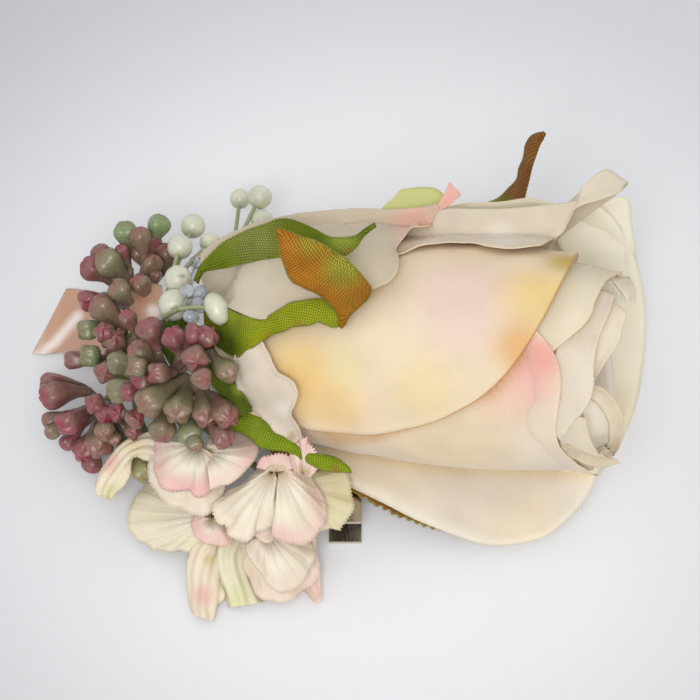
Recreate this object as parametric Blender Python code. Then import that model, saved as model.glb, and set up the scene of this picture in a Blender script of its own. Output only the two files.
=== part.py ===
"""A wearable corsage: a silk rose bud on a spring clip, with blossoms, bud sprays, berries and a ribbon.

It lies as it was laid down on a table. +X is the way the rose opens, and +Z is up. Lengths are in
millimetres, and a mesh is scaled to metres as it is made.
"""

import math

import bpy
import numpy as np

MM = 0.001

# Where the part stands: the middle of its outline over the floor
FRAME_SHIFT = (2.46, -4.14, 0.06)

# Cloth and joints
CLOTH = 0.6
GAP = 0.35
LAYER_AT_BASE = 1.12
LAYER = 1.35

# The rose bud: its foot, the way it points and its shell, radius against height along it
BUD_FOOT = (-24.7, 5.3, 26.0)
BUD_MOUTH = (50.3, -7.0, 37.0)
BUD_FRONT = (0.0, -0.5, 0.866)
SHELL_RADII = (2.5, 8.0, 13.0, 16.5, 18.8, 20.5, 21.6, 21.2, 19.6, 18.0)
SHELL_HEIGHTS = (0.0, 0.8, 3.5, 9.0, 18.0, 32.0, 48.0, 62.0, 76.0, 90.0)
PETAL_ROOT_RADIUS = 3.3
PINCH = 8.0
ROWS_TO_FOOT = 0.2

# What the petals rest on: over the clip under the bud's foot, and the table further out
FOLD_SOFTNESS = 0.8
CLIP_SIDE_X, TABLE_SIDE_X = 8.0, 40.0

# Stems: the bound bundle behind the rose
BUNDLE_ROUTE = (
    (-38.2, 7.6, 24.1), (-40.2, 7.8, 23.7), (-42.8, 8.0, 20.4), (-45.0, 8.0, 14.5), (-46.0, 8.0, 8.4),
)
BUNDLE_RADIUS = 3.6
STEM_RADIUS = 0.8
TWIG_RADIUS = 0.55

# The spring clip, along Y under the rose's foot
CLIP_X = -1.0
CLIP_WIDTH = 6.6
CLIP_METAL = 0.8
CLIP_TIP_Y, CLIP_PIN_Y, CLIP_LEVER_Y = 15.0, -12.0, -27.5
CLIP_PIN_Z = 4.6
CLIP_PIN_RADIUS = 0.8


def unit(vector):
    vector = np.asarray(vector, float)
    return vector / np.linalg.norm(vector, axis=-1, keepdims=True)


ALONG = unit(np.subtract(BUD_MOUTH, BUD_FOOT))
FRONT = unit(np.array(BUD_FRONT) - np.dot(BUD_FRONT, ALONG) * ALONG)
UP = np.cross(FRONT, ALONG)


def curve(knots, values, at):
    """A smooth curve through values at knots, read at the places asked for and level past its ends."""
    knots, values, at = np.asarray(knots, float), np.asarray(values, float), np.asarray(at, float)
    slopes = np.gradient(values, knots, axis=0)
    at = np.clip(at, knots[0], knots[-1])
    i = np.clip(np.searchsorted(knots, at, side="right") - 1, 0, len(knots) - 2)
    width = knots[i + 1] - knots[i]
    f = (at - knots[i]) / width
    if values.ndim > 1:
        width, f = width[..., None], f[..., None]
    rise = f * f * (3 - 2 * f)
    start = width * slopes[i] * f * (1 - f) ** 2
    end = width * slopes[i + 1] * f * f * (f - 1)
    return values[i] * (1 - rise) + values[i + 1] * rise + start + end


def chords(points):
    steps = np.linalg.norm(np.diff(points, axis=0), axis=1)
    return np.concatenate([[0.0], np.cumsum(steps)])


def route(points, samples):
    """Even samples of a smooth curve through the points."""
    points = np.asarray(points, float)
    lengths = chords(points)
    return curve(lengths, points, np.linspace(0, lengths[-1], samples))


def step(at, low, high):
    f = np.clip((at - low) / (high - low), 0, 1)
    return f * f * (3 - 2 * f)


def lifted(points, floor_by_clip, floor_by_table):
    """The points with those under a soft floor bent up onto it."""
    points = np.array(points, float)
    share = step(points[..., 0], CLIP_SIDE_X, TABLE_SIDE_X)
    floor = floor_by_clip + (floor_by_table - floor_by_clip) * share
    points[..., 2] = floor + FOLD_SOFTNESS * np.logaddexp(0, (points[..., 2] - floor) / FOLD_SOFTNESS)
    return points


def in_bud(height, front, up):
    """A point of the bud's own frame: along it, towards its front, and across it upwards."""
    return np.array(BUD_FOOT) + height * ALONG + front * FRONT + up * UP


def round_bud(height, degrees, radius):
    angle = math.radians(degrees)
    return in_bud(height, radius * math.cos(angle), radius * math.sin(angle))


SHELL_PROFILE = np.stack([SHELL_RADII, SHELL_HEIGHTS], 1)
SHELL_LENGTHS = chords(SHELL_PROFILE)


def shell(length):
    """Radius, height and outward normal of the bud's shell at a length along its profile."""
    here = curve(SHELL_LENGTHS, SHELL_PROFILE, length)
    ahead = curve(SHELL_LENGTHS, SHELL_PROFILE, np.asarray(length) + 0.05)
    behind = curve(SHELL_LENGTHS, SHELL_PROFILE, np.asarray(length) - 0.05)
    tangent = unit(ahead - behind)
    return here[..., 0], here[..., 1], tangent[..., 1], -tangent[..., 0]


def shell_length(column, value):
    lengths = np.linspace(0, SHELL_LENGTHS[-1], 400)
    return float(np.interp(value, curve(SHELL_LENGTHS, SHELL_PROFILE, lengths)[:, column], lengths))


# Meshes


def closed(points, faces):
    """Points and faces with every face turned outwards."""
    points, faces = np.asarray(points, float), np.asarray(faces, int)
    corners = points[faces]
    volume = np.einsum("ij,ij->i", corners[:, 0], np.cross(corners[:, 1], corners[:, 2])).sum()
    return points, faces[:, ::-1] if volume < 0 else faces


def sheet(grid, thick):
    """A closed sheet about a grid of points, split into the same triangles on both faces."""
    rows, columns = grid.shape[:2]
    index = np.arange(rows * columns).reshape(rows, columns)
    a, b, c, d = index[:-1, :-1], index[1:, :-1], index[1:, 1:], index[:-1, 1:]
    i, j = np.indices(a.shape)
    rising = (2 * i < rows - 1) == (2 * j < columns - 1)
    first = np.where(rising[..., None], np.stack([a, b, c], -1), np.stack([a, b, d], -1))
    second = np.where(rising[..., None], np.stack([a, c, d], -1), np.stack([b, c, d], -1))
    face = np.concatenate([first.reshape(-1, 3), second.reshape(-1, 3)])
    middle = grid.reshape(-1, 3)
    corners = middle[face]
    across = np.cross(corners[:, 1] - corners[:, 0], corners[:, 2] - corners[:, 0])
    normals = np.zeros_like(middle)
    for k in range(3):
        np.add.at(normals, face[:, k], across)
    half = unit(normals) * thick / 2
    rim = np.concatenate([index[0, :-1], index[:-1, -1], index[-1, :0:-1], index[:0:-1, 0]])
    ahead = np.roll(rim, -1)
    count = len(middle)
    edge = [np.stack([rim, ahead, ahead + count], 1), np.stack([rim, ahead + count, rim + count], 1)]
    faces = np.concatenate([face, face[:, ::-1] + count, *edge])
    return closed(np.concatenate([middle + half, middle - half]), faces)


def tube(path, radii, sides, lobes=0, lobing=None):
    """A closed round body along a path, with flat ends. Lobing makes it lobed by a share at each point."""
    path = np.asarray(path, float)
    radii = np.broadcast_to(radii, len(path))
    lobing = np.zeros(len(path)) if lobing is None else np.asarray(lobing)
    tangents = unit(np.gradient(path, axis=0))
    across = np.cross(tangents[0], (0.3, 0.2, 0.93))
    angles = np.arange(sides) * 2 * math.pi / sides
    rings = []
    for point, tangent, radius, lobe in zip(path, tangents, radii, lobing):
        across = unit(across - np.dot(across, tangent) * tangent)
        other = np.cross(tangent, across)
        reach = radius * (1 + lobe * np.cos(lobes * angles))
        around = np.outer(np.cos(angles), across) + np.outer(np.sin(angles), other)
        rings.append(point + reach[:, None] * around)
    points = np.concatenate([*rings, path[:1], path[-1:]])
    faces = []
    last = (len(path) - 1) * sides
    for k in range(sides):
        n = (k + 1) % sides
        for ring in range(0, last, sides):
            ahead = ring + sides
            faces += [(ring + k, ring + n, ahead + n), (ring + k, ahead + n, ahead + k)]
        faces += [(len(points) - 2, n, k), (len(points) - 1, last + k, last + n)]
    return closed(points, faces)


def ring(path, inner, outer, sides):
    """A closed round sleeve along a path."""
    path = np.asarray(path, float)
    tangents = unit(np.gradient(path, axis=0))
    across = unit(np.cross(tangents, (0.1, 1, 0.2)))
    other = np.cross(tangents, across)
    angles = np.arange(sides) * 2 * math.pi / sides
    around = np.cos(angles)[:, None] * across[:, None] + np.sin(angles)[:, None] * other[:, None]
    rows = [*(path[:, None] + outer * around), *(path[:, None] + inner * around)[::-1]]
    count = len(rows) * sides
    faces = []
    for start in range(0, count, sides):
        for k in range(sides):
            n = (k + 1) % sides
            a, b, c, d = start + k, start + n, start + sides + n, start + sides + k
            faces += [(a, b, c % count), (a, c % count, d % count)]
    return closed(np.concatenate(rows), faces)


def ball(centre, radius, sides=7, rings=4, stretch=1.0, axis=(0, 0, 1)):
    """A round berry, longer along its axis by the stretch."""
    angles = np.linspace(0.12 * math.pi, 0.88 * math.pi, rings)
    path = np.asarray(centre) - np.outer(np.cos(angles) * radius * stretch, unit(axis))
    return tube(path, np.sin(angles) * radius, sides)


def strip(path, sides, halves, rows, columns, thick=CLOTH, camber=0.0, teeth=0.0, slant=0.0):
    """A leaf or a band: a path with a direction across it and a half width at each of its points.

    Teeth notch its edges, and slant cuts its far end askew.
    """
    table = np.column_stack([np.asarray(path, float), np.asarray(sides, float), halves])
    lengths = chords(table[:, :3])
    table = curve(lengths, table, np.linspace(0, lengths[-1], rows + 1))
    middle, half = table[:, :3], np.maximum(table[:, 6], 0.7)
    tangents = unit(np.gradient(middle, axis=0))
    across = unit(table[:, 3:6] - np.sum(table[:, 3:6] * tangents, 1, keepdims=True) * tangents)
    normals = np.cross(tangents, across)
    u = np.linspace(-1, 1, columns + 1)
    notch = np.where(np.arange(rows + 1) % 2 == 1, 1 - teeth, 1.0)
    reach = half[:, None] * u * np.where(np.abs(u) > 0.99, notch[:, None], 1.0)
    arch = camber * half[:, None] * (1 - u * u)
    further = slant * u * step(np.linspace(0, 1, rows + 1), 0.4, 1)[:, None]
    grid = middle[:, None] + reach[..., None] * across[:, None] + arch[..., None] * normals[:, None]
    return sheet(grid + further[..., None] * tangents[:, None], thick)


def fan(root, bend, tip, face, spread, pleat=0.3, arch=0.0, rows=3, columns=6):
    """A small petal: a pleated fan along a bent line from its root, with a zigzag rim."""
    v = np.linspace(0, 1, rows + 1)[:, None, None]
    root, bend, tip = (np.asarray(p, float) for p in (root, bend, tip))
    middle = (1 - v) ** 2 * root + 2 * v * (1 - v) * bend + v * v * tip
    tangents = unit(2 * (1 - v) * (bend - root) + 2 * v * (tip - bend))
    across = unit(np.cross(tangents, np.asarray(face, float)))
    normals = np.cross(across, tangents)
    length = np.linalg.norm(bend - root) + np.linalg.norm(tip - bend)
    u = np.linspace(-1, 1, columns + 1)[None, :, None]
    zigzag = np.where(np.arange(columns + 1) % 2 == 1, 1.0, -1.0)[None, :, None]
    reach = 1.0 + v * (length - 1.0)
    angle = u * math.radians(spread) * (1 - 0.2 * v * v)
    out = reach * np.sin(angle) * across - reach * (1 - np.cos(angle)) * tangents
    ripple = (pleat * zigzag * v - arch * u * u * v * length) * normals
    points = middle + out + ripple + tangents * np.where(v == 1, 0.45 * zigzag, 0.0)
    return sheet(points, CLOTH)


# Objects


def material(name, colour, roughness, metallic=0.0):
    made = bpy.data.materials.new(name)
    made.use_nodes = True
    shader = made.node_tree.nodes["Principled BSDF"]
    shader.inputs["Base Color"].default_value = (*colour, 1.0)
    shader.inputs["Roughness"].default_value = roughness
    shader.inputs["Metallic"].default_value = metallic
    made.diffuse_color = (*colour, 1.0)
    return made


def add(name, body, finish, parent, centre=(0.0, 0.0, 0.0)):
    """A mesh object of one body, its points measured from its parent's centre."""
    points, faces = body
    mesh = bpy.data.meshes.new(name)
    mesh.from_pydata(((points - np.asarray(centre)) * MM).tolist(), [], faces.tolist())
    mesh.shade_smooth()
    mesh.set_sharp_from_angle(angle=math.radians(40))
    mesh.materials.append(finish)
    made = bpy.data.objects.new(name, mesh)
    bpy.context.scene.collection.objects.link(made)
    made.parent = parent
    return made


def fused(name, bodies, finish, parent, centre=(0.0, 0.0, 0.0)):
    """One object of bodies that grow into each other, joined by one union."""
    made = add(name, bodies[0], finish, parent, centre)
    others = bpy.data.collections.new(name + "_pieces")
    bpy.context.scene.collection.children.link(others)
    for body in bodies[1:]:
        piece = add(name + "_piece", body, finish, parent, centre)
        bpy.context.scene.collection.objects.unlink(piece)
        others.objects.link(piece)
    union = made.modifiers.new("union", "BOOLEAN")
    union.operation = "UNION"
    union.operand_type = "COLLECTION"
    union.collection = others
    union.solver = "EXACT"
    graph = bpy.context.evaluated_depsgraph_get()
    joined = bpy.data.meshes.new_from_object(made.evaluated_get(graph))
    made.modifiers.remove(union)
    made.data = joined
    for piece in list(others.objects):
        bpy.data.objects.remove(piece)
    bpy.data.collections.remove(others)
    return made


# The rose

# Each petal: the way it faces round the bud, half its width, the height of its rim, its layer, its floors,
# cells and outline, how far it stands off the bud at heights along it, and how closely its sides wrap
ROSE_PETALS = {
    "rose_petal_1": dict(
        facing=-85, half=52, rim=77, layer=0, floors=(14.5, 3.0), cells=(16, 10), outline=(0.45, 0.0, 0.0),
    ),
    "rose_petal_2": dict(
        facing=75, half=50, rim=70, layer=1.15, floors=(13.4, 3.0), cells=(16, 10),
        outline=(0.47, 0.0, 0.0),
    ),
    "rose_petal_3": dict(
        facing=100, half=26.5, rim=75, layer=2.2, floors=(12.3, 3.0), cells=(10, 10),
        outline=(0.42, 0.3, 0.1), off=((20, 0), (34, 0.8), (49, 2.4), (62, 4.8), (70, 8.0), (75, 10.5)),
        wrap=(1.25, 1.0), free=(38, 62), tilt=1.15,
    ),
    "rose_petal_4": dict(
        facing=-158, half=31, rim=76, layer=3.5, floors=(11.2, 1.8), cells=(10, 9),
        outline=(0.42, 0.6, 0.3), wrap=(1.0, 0.08),
    ),
    "rose_petal_5": dict(
        facing=172, half=36, rim=78, layer=4.8, floors=(9.8, 0.2), cells=(12, 9), outline=(0.38, 0.7, 0.35),
        off=((12, 0), (25, 1.5), (40, 3.5), (55, 6.5), (68, 11), (78, 15)),
    ),
    "rose_petal_6": dict(
        facing=86, half=26, rim=44, layer=5.8, floors=(12.3, 3.0), cells=(8, 7), outline=(0.42, 0.3, 0.1),
        off=((4, 0), (15, 1.6), (32, 2.6), (44, 4.5)), wrap=(1.15, 1.0),
    ),
    "rose_petal_7": dict(
        facing=-48, half=15, rim=15, layer=4.2, floors=(12.3, 3.0), cells=(7, 5), outline=(0.42, 0.2, 0.2),
        off=((4, 0), (10, 0.0), (15, 1.5)),
    ),
    "rose_petal_8": dict(
        facing=130, half=20, rim=42, layer=7.0, floors=(10.5, 3.0), cells=(8, 6), outline=(0.42, 0.4, 0.1),
        off=((4, 0), (15, 1.8), (30, 4.5), (42, 8)),
    ),
}


def petal_grid(facing, half, rim, layer, floors, cells, outline, off=((0, 0), (90, 0)), wrap=(1.0, 1.0),
               free=(5, 30), tilt=0.0):
    """The middle surface of one rose petal, wrapped round the bud's shell."""
    square, taper, shoulder = outline
    u, v = np.meshgrid(np.linspace(-1, 1, cells[0] + 1), np.linspace(-1, 1, cells[1] + 1), indexing="ij")
    v = v - ROWS_TO_FOOT * (1 - v * v)
    x = u * (1 - v * v / 2) ** square
    y = v * (1 - u * u / 2) ** square
    x = x * (1 - taper * ((1 - y) / 2) ** 2 + shoulder * ((1 + y) / 2) ** 2)
    start, end = shell_length(0, PETAL_ROOT_RADIUS), shell_length(1, rim)
    radius, height, out, down = shell(start + (end - start) * (1 + y) / 2)
    heights, stand_off = zip(*off)
    distance = layer * curve((0, 10), (LAYER_AT_BASE, LAYER), height)
    distance = distance + curve(heights, stand_off, height) * (1 - tilt * x)
    radius = radius + distance * out
    height = height + distance * down
    across = half * x * radius / np.hypot(radius, PINCH)
    closeness = 1 + (np.where(x < 0, *wrap) - 1) * step(height, *free)
    bow = across / radius * closeness
    inward = across * np.sin(bow / 2) * np.sinc(bow / (2 * math.pi))
    sideways = across * np.sinc(bow / math.pi)
    angle = math.radians(facing)
    normal = math.cos(angle) * FRONT + math.sin(angle) * UP
    side = -math.sin(angle) * FRONT + math.cos(angle) * UP
    points = np.array(BUD_FOOT) + height[..., None] * ALONG
    points = points + (radius - inward)[..., None] * normal + sideways[..., None] * side
    return lifted(points, *floors)


# The heart of the bud: rolled petals. Each turn: angle, how far inside the shell, height of its rim
HEART_INSET = 1.45
HEART_TOP = 60.0
HEART_ROLL_FOOT = 54.0
HEART_FLOORS = (15.7, 4.0)
HEART_ROLLS = (
    ((-55, 1.6, 68), (-8, 1.6, 73), (40, 1.6, 77), (90, 1.6, 79), (150, 1.9, 78), (205, 2.3, 72)),
    ((140, 3.6, 70), (200, 3.6, 76), (270, 3.2, 77), (330, 3.0, 74)),
    ((190, 6.0, 74), (290, 7.0, 76), (400, 8.5, 77), (520, 11.0, 77), (640, 13.5, 75)),
)


def heart_body():
    """The bud's filled heart, a turned body in the shell."""
    lengths = np.linspace(shell_length(0, PETAL_ROOT_RADIUS), shell_length(1, HEART_TOP), 8)
    radius, height, out, down = shell(lengths)
    radius = np.concatenate([radius - HEART_INSET * out, [0.55 * radius[-1]]])
    height = np.concatenate([height - HEART_INSET * down, [HEART_TOP + 1.5]])
    points, faces = tube([in_bud(h, 0, 0) for h in height], radius, 20)
    return lifted(points, *HEART_FLOORS), faces


def heart_roll(turns, rows=3):
    """A rolled petal that stands out of the heart."""
    angles, insets, rims = zip(*turns)
    columns = max(6, round((angles[-1] - angles[0]) / 27))
    at = np.linspace(angles[0], angles[-1], columns + 1)
    inset, rim = curve(angles, insets, at), curve(angles, rims, at)
    grid = np.empty((columns + 1, rows + 1, 3))
    for i in range(columns + 1):
        for j in range(rows + 1):
            height = HEART_ROLL_FOOT + (rim[i] - HEART_ROLL_FOOT) * j / rows
            radius = shell(shell_length(1, height))[0] - inset[i]
            grid[i, j] = round_bud(height, at[i], radius)
    return sheet(grid, CLOTH)


CALYX_PROFILE = (
    (3.5, -13.0), (4.4, -12.4), (6.0, -11.2), (7.2, -9.8), (6.6, -8.7), (2.4, -8.7), (2.3, 0.8),
)


def calyx_body():
    radii, heights = zip(*CALYX_PROFILE)
    return tube([in_bud(h, 0, 0) for h in heights], radii, 14)


# Sepals: points in the bud's frame (along, front, up), the direction across, and half the width there
SEPALS = {
    "sepal_1": dict(
        path=((-10.0, 4.5, 7.5), (-5.7, 8, 14), (1.4, 12.3, 21.1), (8.6, 15.4, 24.7),
              (16.8, 18.4, 24.2), (24, 20.8, 21.9), (29.5, 19, 25.4)),
        across=((0.3, 1, -0.5), (0.3, 1, -0.5), (0.2, 1, -0.5), (0, 1, -0.5), (0, 1, -0.6),
                (0.2, 0.9, -0.8), (0.5, 0.6, -0.5)),
        half=(2.4, 4.0, 5.2, 5.6, 4.8, 3.0, 0.7), rows=14,
    ),
    "sepal_2": dict(
        path=((-10.0, 8.6, 0.9), (-4, 13.2, 1.2), (2.4, 20.3, 2.0), (8.6, 24.6, 4), (14.7, 26.2, 7.4),
              (21.9, 27.0, 8.3), (28.4, 29.6, 10), (26.8, 32.6, 13), (21.5, 33.2, 17.5),
              (14.5, 32.0, 22.5)),
        across=((0, -0.1, 1), (0, -0.1, 1), (-0.2, -0.1, 1), (-0.3, -0.2, 0.95), (-0.3, -0.3, 0.95),
                (0.1, -0.2, 0.95), (0.63, 0, 0.77), (0.66, 0, 0.75), (0.68, 0, 0.73), (0.7, 0, 0.7)),
        half=(2.2, 3.0, 3.5, 3.6, 3.6, 4.2, 5.0, 5.8, 5.4, 0.7), rows=22,
    ),
    "sepal_3": dict(
        path=((-10.0, 4.6, -7.4), (-3.5, 9.8, -11.4), (2.9, 13.6, -17.2), (12.7, 16.2, -21.2),
              (20.9, 16.4, -23.4), (27, 14.0, -26.0)),
        across=((0.3, 1, 0.6), (0.2, 1, 0.6), (0.1, 1, 0.6), (0, 1, 0.7), (0, 1, 0.7), (0, 1, 0.6)),
        half=(2.2, 2.6, 2.8, 2.6, 2.2, 0.7), rows=12,
    ),
    "sepal_4": dict(
        path=((-10.0, 7.9, -4.0), (-3.6, 15.0, -6.0), (1.5, 20.0, -8.4), (5.4, 23.6, -11.0),
              (6.6, 25.2, -14.4)),
        across=((0.2, 0.3, 1), (0.2, 0.3, 1), (0.6, 0.2, 0.8), (0.9, 0.1, 0.5), (1, 0, 0.3)),
        half=(1.3, 1.9, 2.4, 2.4, 0.7), rows=8,
    ),
    "sepal_5": dict(
        path=((-10.0, -8.6, -0.7), (-4, -15.0, -1.2), (3, -23.0, -1.8), (7, -26.0, -3.4),
              (11, -27.0, -4.2)),
        across=((0, -0.08, 1), (0, -0.08, 1), (0, -0.08, 1), (0, -0.08, 1), (0, -0.08, 1)),
        half=(2.2, 3.6, 4.6, 3.6, 0.7), rows=10,
    ),
}

# Backing leaves: points over the table, the direction across, and half the width there
LEAVES = {
    "leaf_1": dict(
        path=((-37.2, 3.0, 19.4), (-27, -2.0, 12.0), (-15, -8, 9.5), (-2, -14.5, 9.7), (12, -21.5, 7.4),
              (25, -26.8, 3.8), (36, -30.5, 1.6)),
        across=((0.3, 0.8, 0.3), (0.4, 0.9, 0.1), (0.45, 0.9, 0), (0.45, 0.9, 0), (0.45, 0.9, 0.1),
                (0.4, 0.9, 0.2), (0.4, 0.9, 0.2)),
        half=(0.8, 2.0, 3.6, 4.4, 5.4, 4.6, 0.7),
    ),
    "leaf_2": dict(
        path=((-40.2, 12.6, 17.0), (-31, 16.5, 9.5), (-16, 22.5, 6.6), (2, 27, 7.0), (18, 30, 9.4),
              (28, 34.5, 15), (33, 39, 23.5), (36, 43, 33), (38.6, 45.4, 42.6)),
        across=((0.5, -0.6, 0.5), (0.4, -0.8, 0.3), (0.3, -0.9, 0.1), (0.1, -1, 0), (0.2, -1, 0),
                (0.6, -0.8, 0.1), (0.9, -0.5, 0), (0.95, -0.3, 0), (0.95, -0.3, 0)),
        half=(0.8, 2.2, 4.6, 6.2, 6.4, 5.6, 4.6, 3.4, 0.7),
    ),
}


# Sprays


def seat(fraction, toward):
    """A point just off the bundle's side, the way it faces a point, with that way."""
    at = route(BUNDLE_ROUTE, 41)
    i = round(fraction * 40)
    tangent = unit(at[min(i + 1, 40)] - at[max(i - 1, 0)])
    way = np.asarray(toward, float) - at[i]
    way = unit(way - np.dot(way, tangent) * tangent)
    return at[i] + way * (BUNDLE_RADIUS + GAP), way


def stem(fraction, toward, via=(), radius=STEM_RADIUS, rows=6):
    """A stem from the bundle's side to a point."""
    start, way = seat(fraction, via[0] if via else toward)
    return tube(route([start, start + 1.6 * way, *via, toward], rows + 1), radius, 6)


BUD_LENGTH = 9.6
BUD_STATIONS = (0.0, 0.55, 0.80, 0.95, 1.0)
BUD_RADII = (0.24, 0.74, 1.0, 0.8, 0.36)
BUD_LOBING = (0.0, 0.04, 0.10, 0.22, 0.3)
BUD_SIZE = 2.95


def bud(junction, head, size=BUD_SIZE):
    """A closed bud whose middle is at the head, on a twig from the junction."""
    junction, head = np.asarray(junction, float), np.asarray(head, float)
    distance = np.linalg.norm(head - junction)
    way = (head - junction) / distance
    reach = min(BUD_LENGTH, 1.15 * distance)
    stations = distance + reach * (np.array(BUD_STATIONS) - 0.75)
    radii, lobing = np.array(BUD_RADII) * size, BUD_LOBING
    if stations[0] > 1.0:
        stations, radii, lobing = np.r_[0.0, stations], np.r_[radii[0], radii], (0.0, *lobing)
    return tube(junction + np.outer(stations, way), radii, 6, lobes=3, lobing=lobing)


# Bud sprays: where the stem leaves the bundle, the spray's junction, and where its buds' heads are
BUD_SPRAYS = {
    "bud_spray_1": dict(
        leaves=0.66, junction=(-45.1, 17.8, 17.0),
        heads=((-46.5, 32.0, 25.0), (-41.5, 31.5, 22.5), (-43.5, 30.0, 28.0), (-45.5, 26.0, 27.0),
               (-41.0, 25.0, 24.5), (-50.0, 26.0, 25.0), (-54.0, 24.5, 21.5), (-44.0, 19.5, 28.5),
               (-48.5, 17.5, 27.5), (-54.0, 18.0, 23.5), (-51.5, 13.5, 26.0), (-49.0, 30.0, 16.5),
               (-43.5, 31.0, 16.0), (-55.5, 24.0, 13.5)),
    ),
    "bud_spray_2": dict(
        leaves=0.84, junction=(-50.4, 7.6, 15.0),
        heads=((-55.5, 12.0, 18.5), (-50.0, 7.8, 25.5), (-55.0, 5.6, 19.6), (-50.6, 1.6, 21.6),
               (-57.4, 8.6, 13.0)),
    ),
    "bud_spray_3": dict(
        leaves=0.02, junction=(-36.4, -4.5, 29.6),
        heads=((-39.5, -0.5, 38.5), (-34.8, -1.8, 41.3), (-30.4, -3.6, 44.6), (-32.0, -8.6, 42.0),
               (-28.8, -13.0, 43.4), (-36.5, -7.6, 40.0), (-42.0, -6.5, 36.5), (-44.0, -9.0, 31.0),
               (-40.5, -13.0, 33.0), (-35.0, -15.0, 33.8), (-29.8, -14.8, 33.4), (-43.5, -2.0, 27.5),
               (-39.4, -14.4, 26.5), (-33.6, -15.8, 27.5)),
    ),
    "bud_spray_4": dict(
        leaves=0.97, junction=(-50.8, 0.8, 9.0),
        heads=((-61.0, -0.5, 13.5), (-60.5, 4.0, 8.5), (-57.5, -6.0, 14.5), (-62.5, -2.0, 6.5),
               (-50.0, -9.0, 14.5), (-56.0, -10.0, 8.5), (-52.0, -11.5, 4.4), (-46.5, -6.0, 15.5),
               (-45.0, -10.6, 9.5), (-58.0, -6.0, 4.2), (-52.0, -4.0, 17.0)),
    ),
}

# Berries: the sprig's junction and where its berries are, with their size and stretch
BERRY_SIZE = 2.8
BERRY_SPRIGS = {
    "berry_sprig_1": dict(
        leaves=0.1, via=((-39.0, 14.0, 25.0),), junction=(-36.8, 16.0, 29.5),
        berries=((-31.8, 35.0, 24.0, 1.0), (-34.6, 27.4, 28.6, 1.0), (-28.6, 28.8, 25.0, 1.0),
                 (-35.0, 17.4, 35.6, 1.0), (-37.4, 10.4, 35.8, 1.0)),
    ),
    "berry_sprig_2": dict(
        leaves=0.3, via=((-37.0, 19.0, 16.5), (-30.0, 28.5, 10.5)), junction=(-25.0, 37.5, 8.0),
        berries=((-24.7, 49.3, 8.5, 1.0), (-19.3, 49.0, 12.5, 1.0), (-18.4, 43.4, 10.6, 1.0),
                 (-24.9, 43.6, 3.4, 1.0)),
    ),
    "berry_sprig_3": dict(
        leaves=0.06, via=((-38.2, 5.8, 31.0), (-36.6, 4.6, 37.6)), junction=(-34.2, 4.4, 40.4),
        berries=((-27.8, 2.9, 44.4, 0.75),),
    ),
}

BEAD_SIZE = 1.1
BEAD_HEADS = ((-31.4, 8.4, 41.6), (-34.2, 8.2, 41.8), (-32.6, 11.0, 41.4), (-31.6, 6.4, 44.6))
BEAD_JUNCTION = (-35.0, 7.4, 33.4)


def spray_bodies(leaves, junction, heads):
    bodies = [stem(leaves, junction), ball(junction, 1.9, sides=6, rings=4)]
    return bodies + [bud(junction, head) for head in heads]


def sprig_bodies(leaves, via, junction, berries):
    bodies = [stem(leaves, junction, via=via, radius=TWIG_RADIUS, rows=8)]
    for *centre, stretch in berries:
        hang = unit(np.subtract(centre, junction))
        bodies.append(ball(centre, BERRY_SIZE * stretch, stretch=1 / stretch, axis=hang))
        sag = np.add(junction, centre) / 2 + (0, 0, 0.8)
        bodies.append(tube(route([junction, sag, centre], 3), TWIG_RADIUS, 4))
    return bodies


def bead_bodies():
    bodies = [stem(0.02, BEAD_JUNCTION, radius=TWIG_RADIUS, rows=4), ball(BEAD_JUNCTION, 0.9, sides=6)]
    for k, at in enumerate(BEAD_HEADS):
        bodies.append(tube(route([BEAD_JUNCTION, at], 3), 0.4, 4))
        axis = (math.cos(k), math.sin(k), 0.4)
        bodies.append(ball(at, BEAD_SIZE, sides=5, rings=3, stretch=1.1, axis=axis))
    return bodies


# Blossoms: where the stem leaves the bundle, its way to the centre, and each petal's bend, tip, the way its
# face looks and how wide it fans
BLOSSOMS = {
    "blossom_1": dict(
        leaves=0.16, via=((-37.5, -3.0, 18.5),), centre=(-31.0, -15.0, 20.0), size=1.7,
        petals=(((-30.5, -20.0, 24.0), (-30.5, -29.0, 19.5), (0, -0.6, 0.8), 42),
                ((-38.0, -15.0, 20.0), (-45.0, -20.0, 11.5), (-0.5, -0.4, 0.8), 34),
                ((-27.0, -17.5, 24.0), (-23.6, -22.0, 23.0), (0.5, -0.7, 0.4), 26)),
    ),
    "blossom_2": dict(
        leaves=0.24, via=((-36.5, 0.5, 13.5), (-24.0, -12.0, 12.5)), centre=(-15.5, -21.5, 17.4), size=1.7,
        petals=(((-19.0, -25.0, 22.0), (-22.0, -31.5, 17.5), (-0.3, -0.6, 0.8), 38),
                ((-12.5, -25.5, 21.5), (-10.5, -33.5, 16.0), (0.2, -0.6, 0.8), 40),
                ((-9.5, -21.5, 17.4), (-2.5, -25.5, 12.8), (0.6, -0.5, 0.6), 34),
                ((-12.5, -21.5, 22.4), (-8.5, -24.0, 26.0), (-0.3, -0.8, 0.2), 28),
                ((-16.5, -20.5, 22.0), (-17.0, -24.0, 26.0), (0, -0.9, 0.2), 26)),
    ),
    "blossom_3": dict(
        leaves=0.72, via=((-44.2, -1.0, 10.5), (-36.0, -14.0, 6.0)), centre=(-26.0, -26.0, 7.4), size=1.7,
        petals=(((-33.0, -25.0, 12.0), (-43.0, -26.5, 4.2), (-0.3, -0.4, 0.8), 34),
                ((-28.5, -32.0, 10.5), (-31.5, -41.5, 0.35), (-0.3, -0.6, 0.7), 28),
                ((-23.0, -34.0, 9.0), (-23.0, -42.0, 0.3), (0, -0.6, 0.7), 28),
                ((-17.0, -32.0, 10.5), (-12.5, -39.0, 3.0), (0.4, -0.6, 0.7), 36)),
    ),
}


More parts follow.
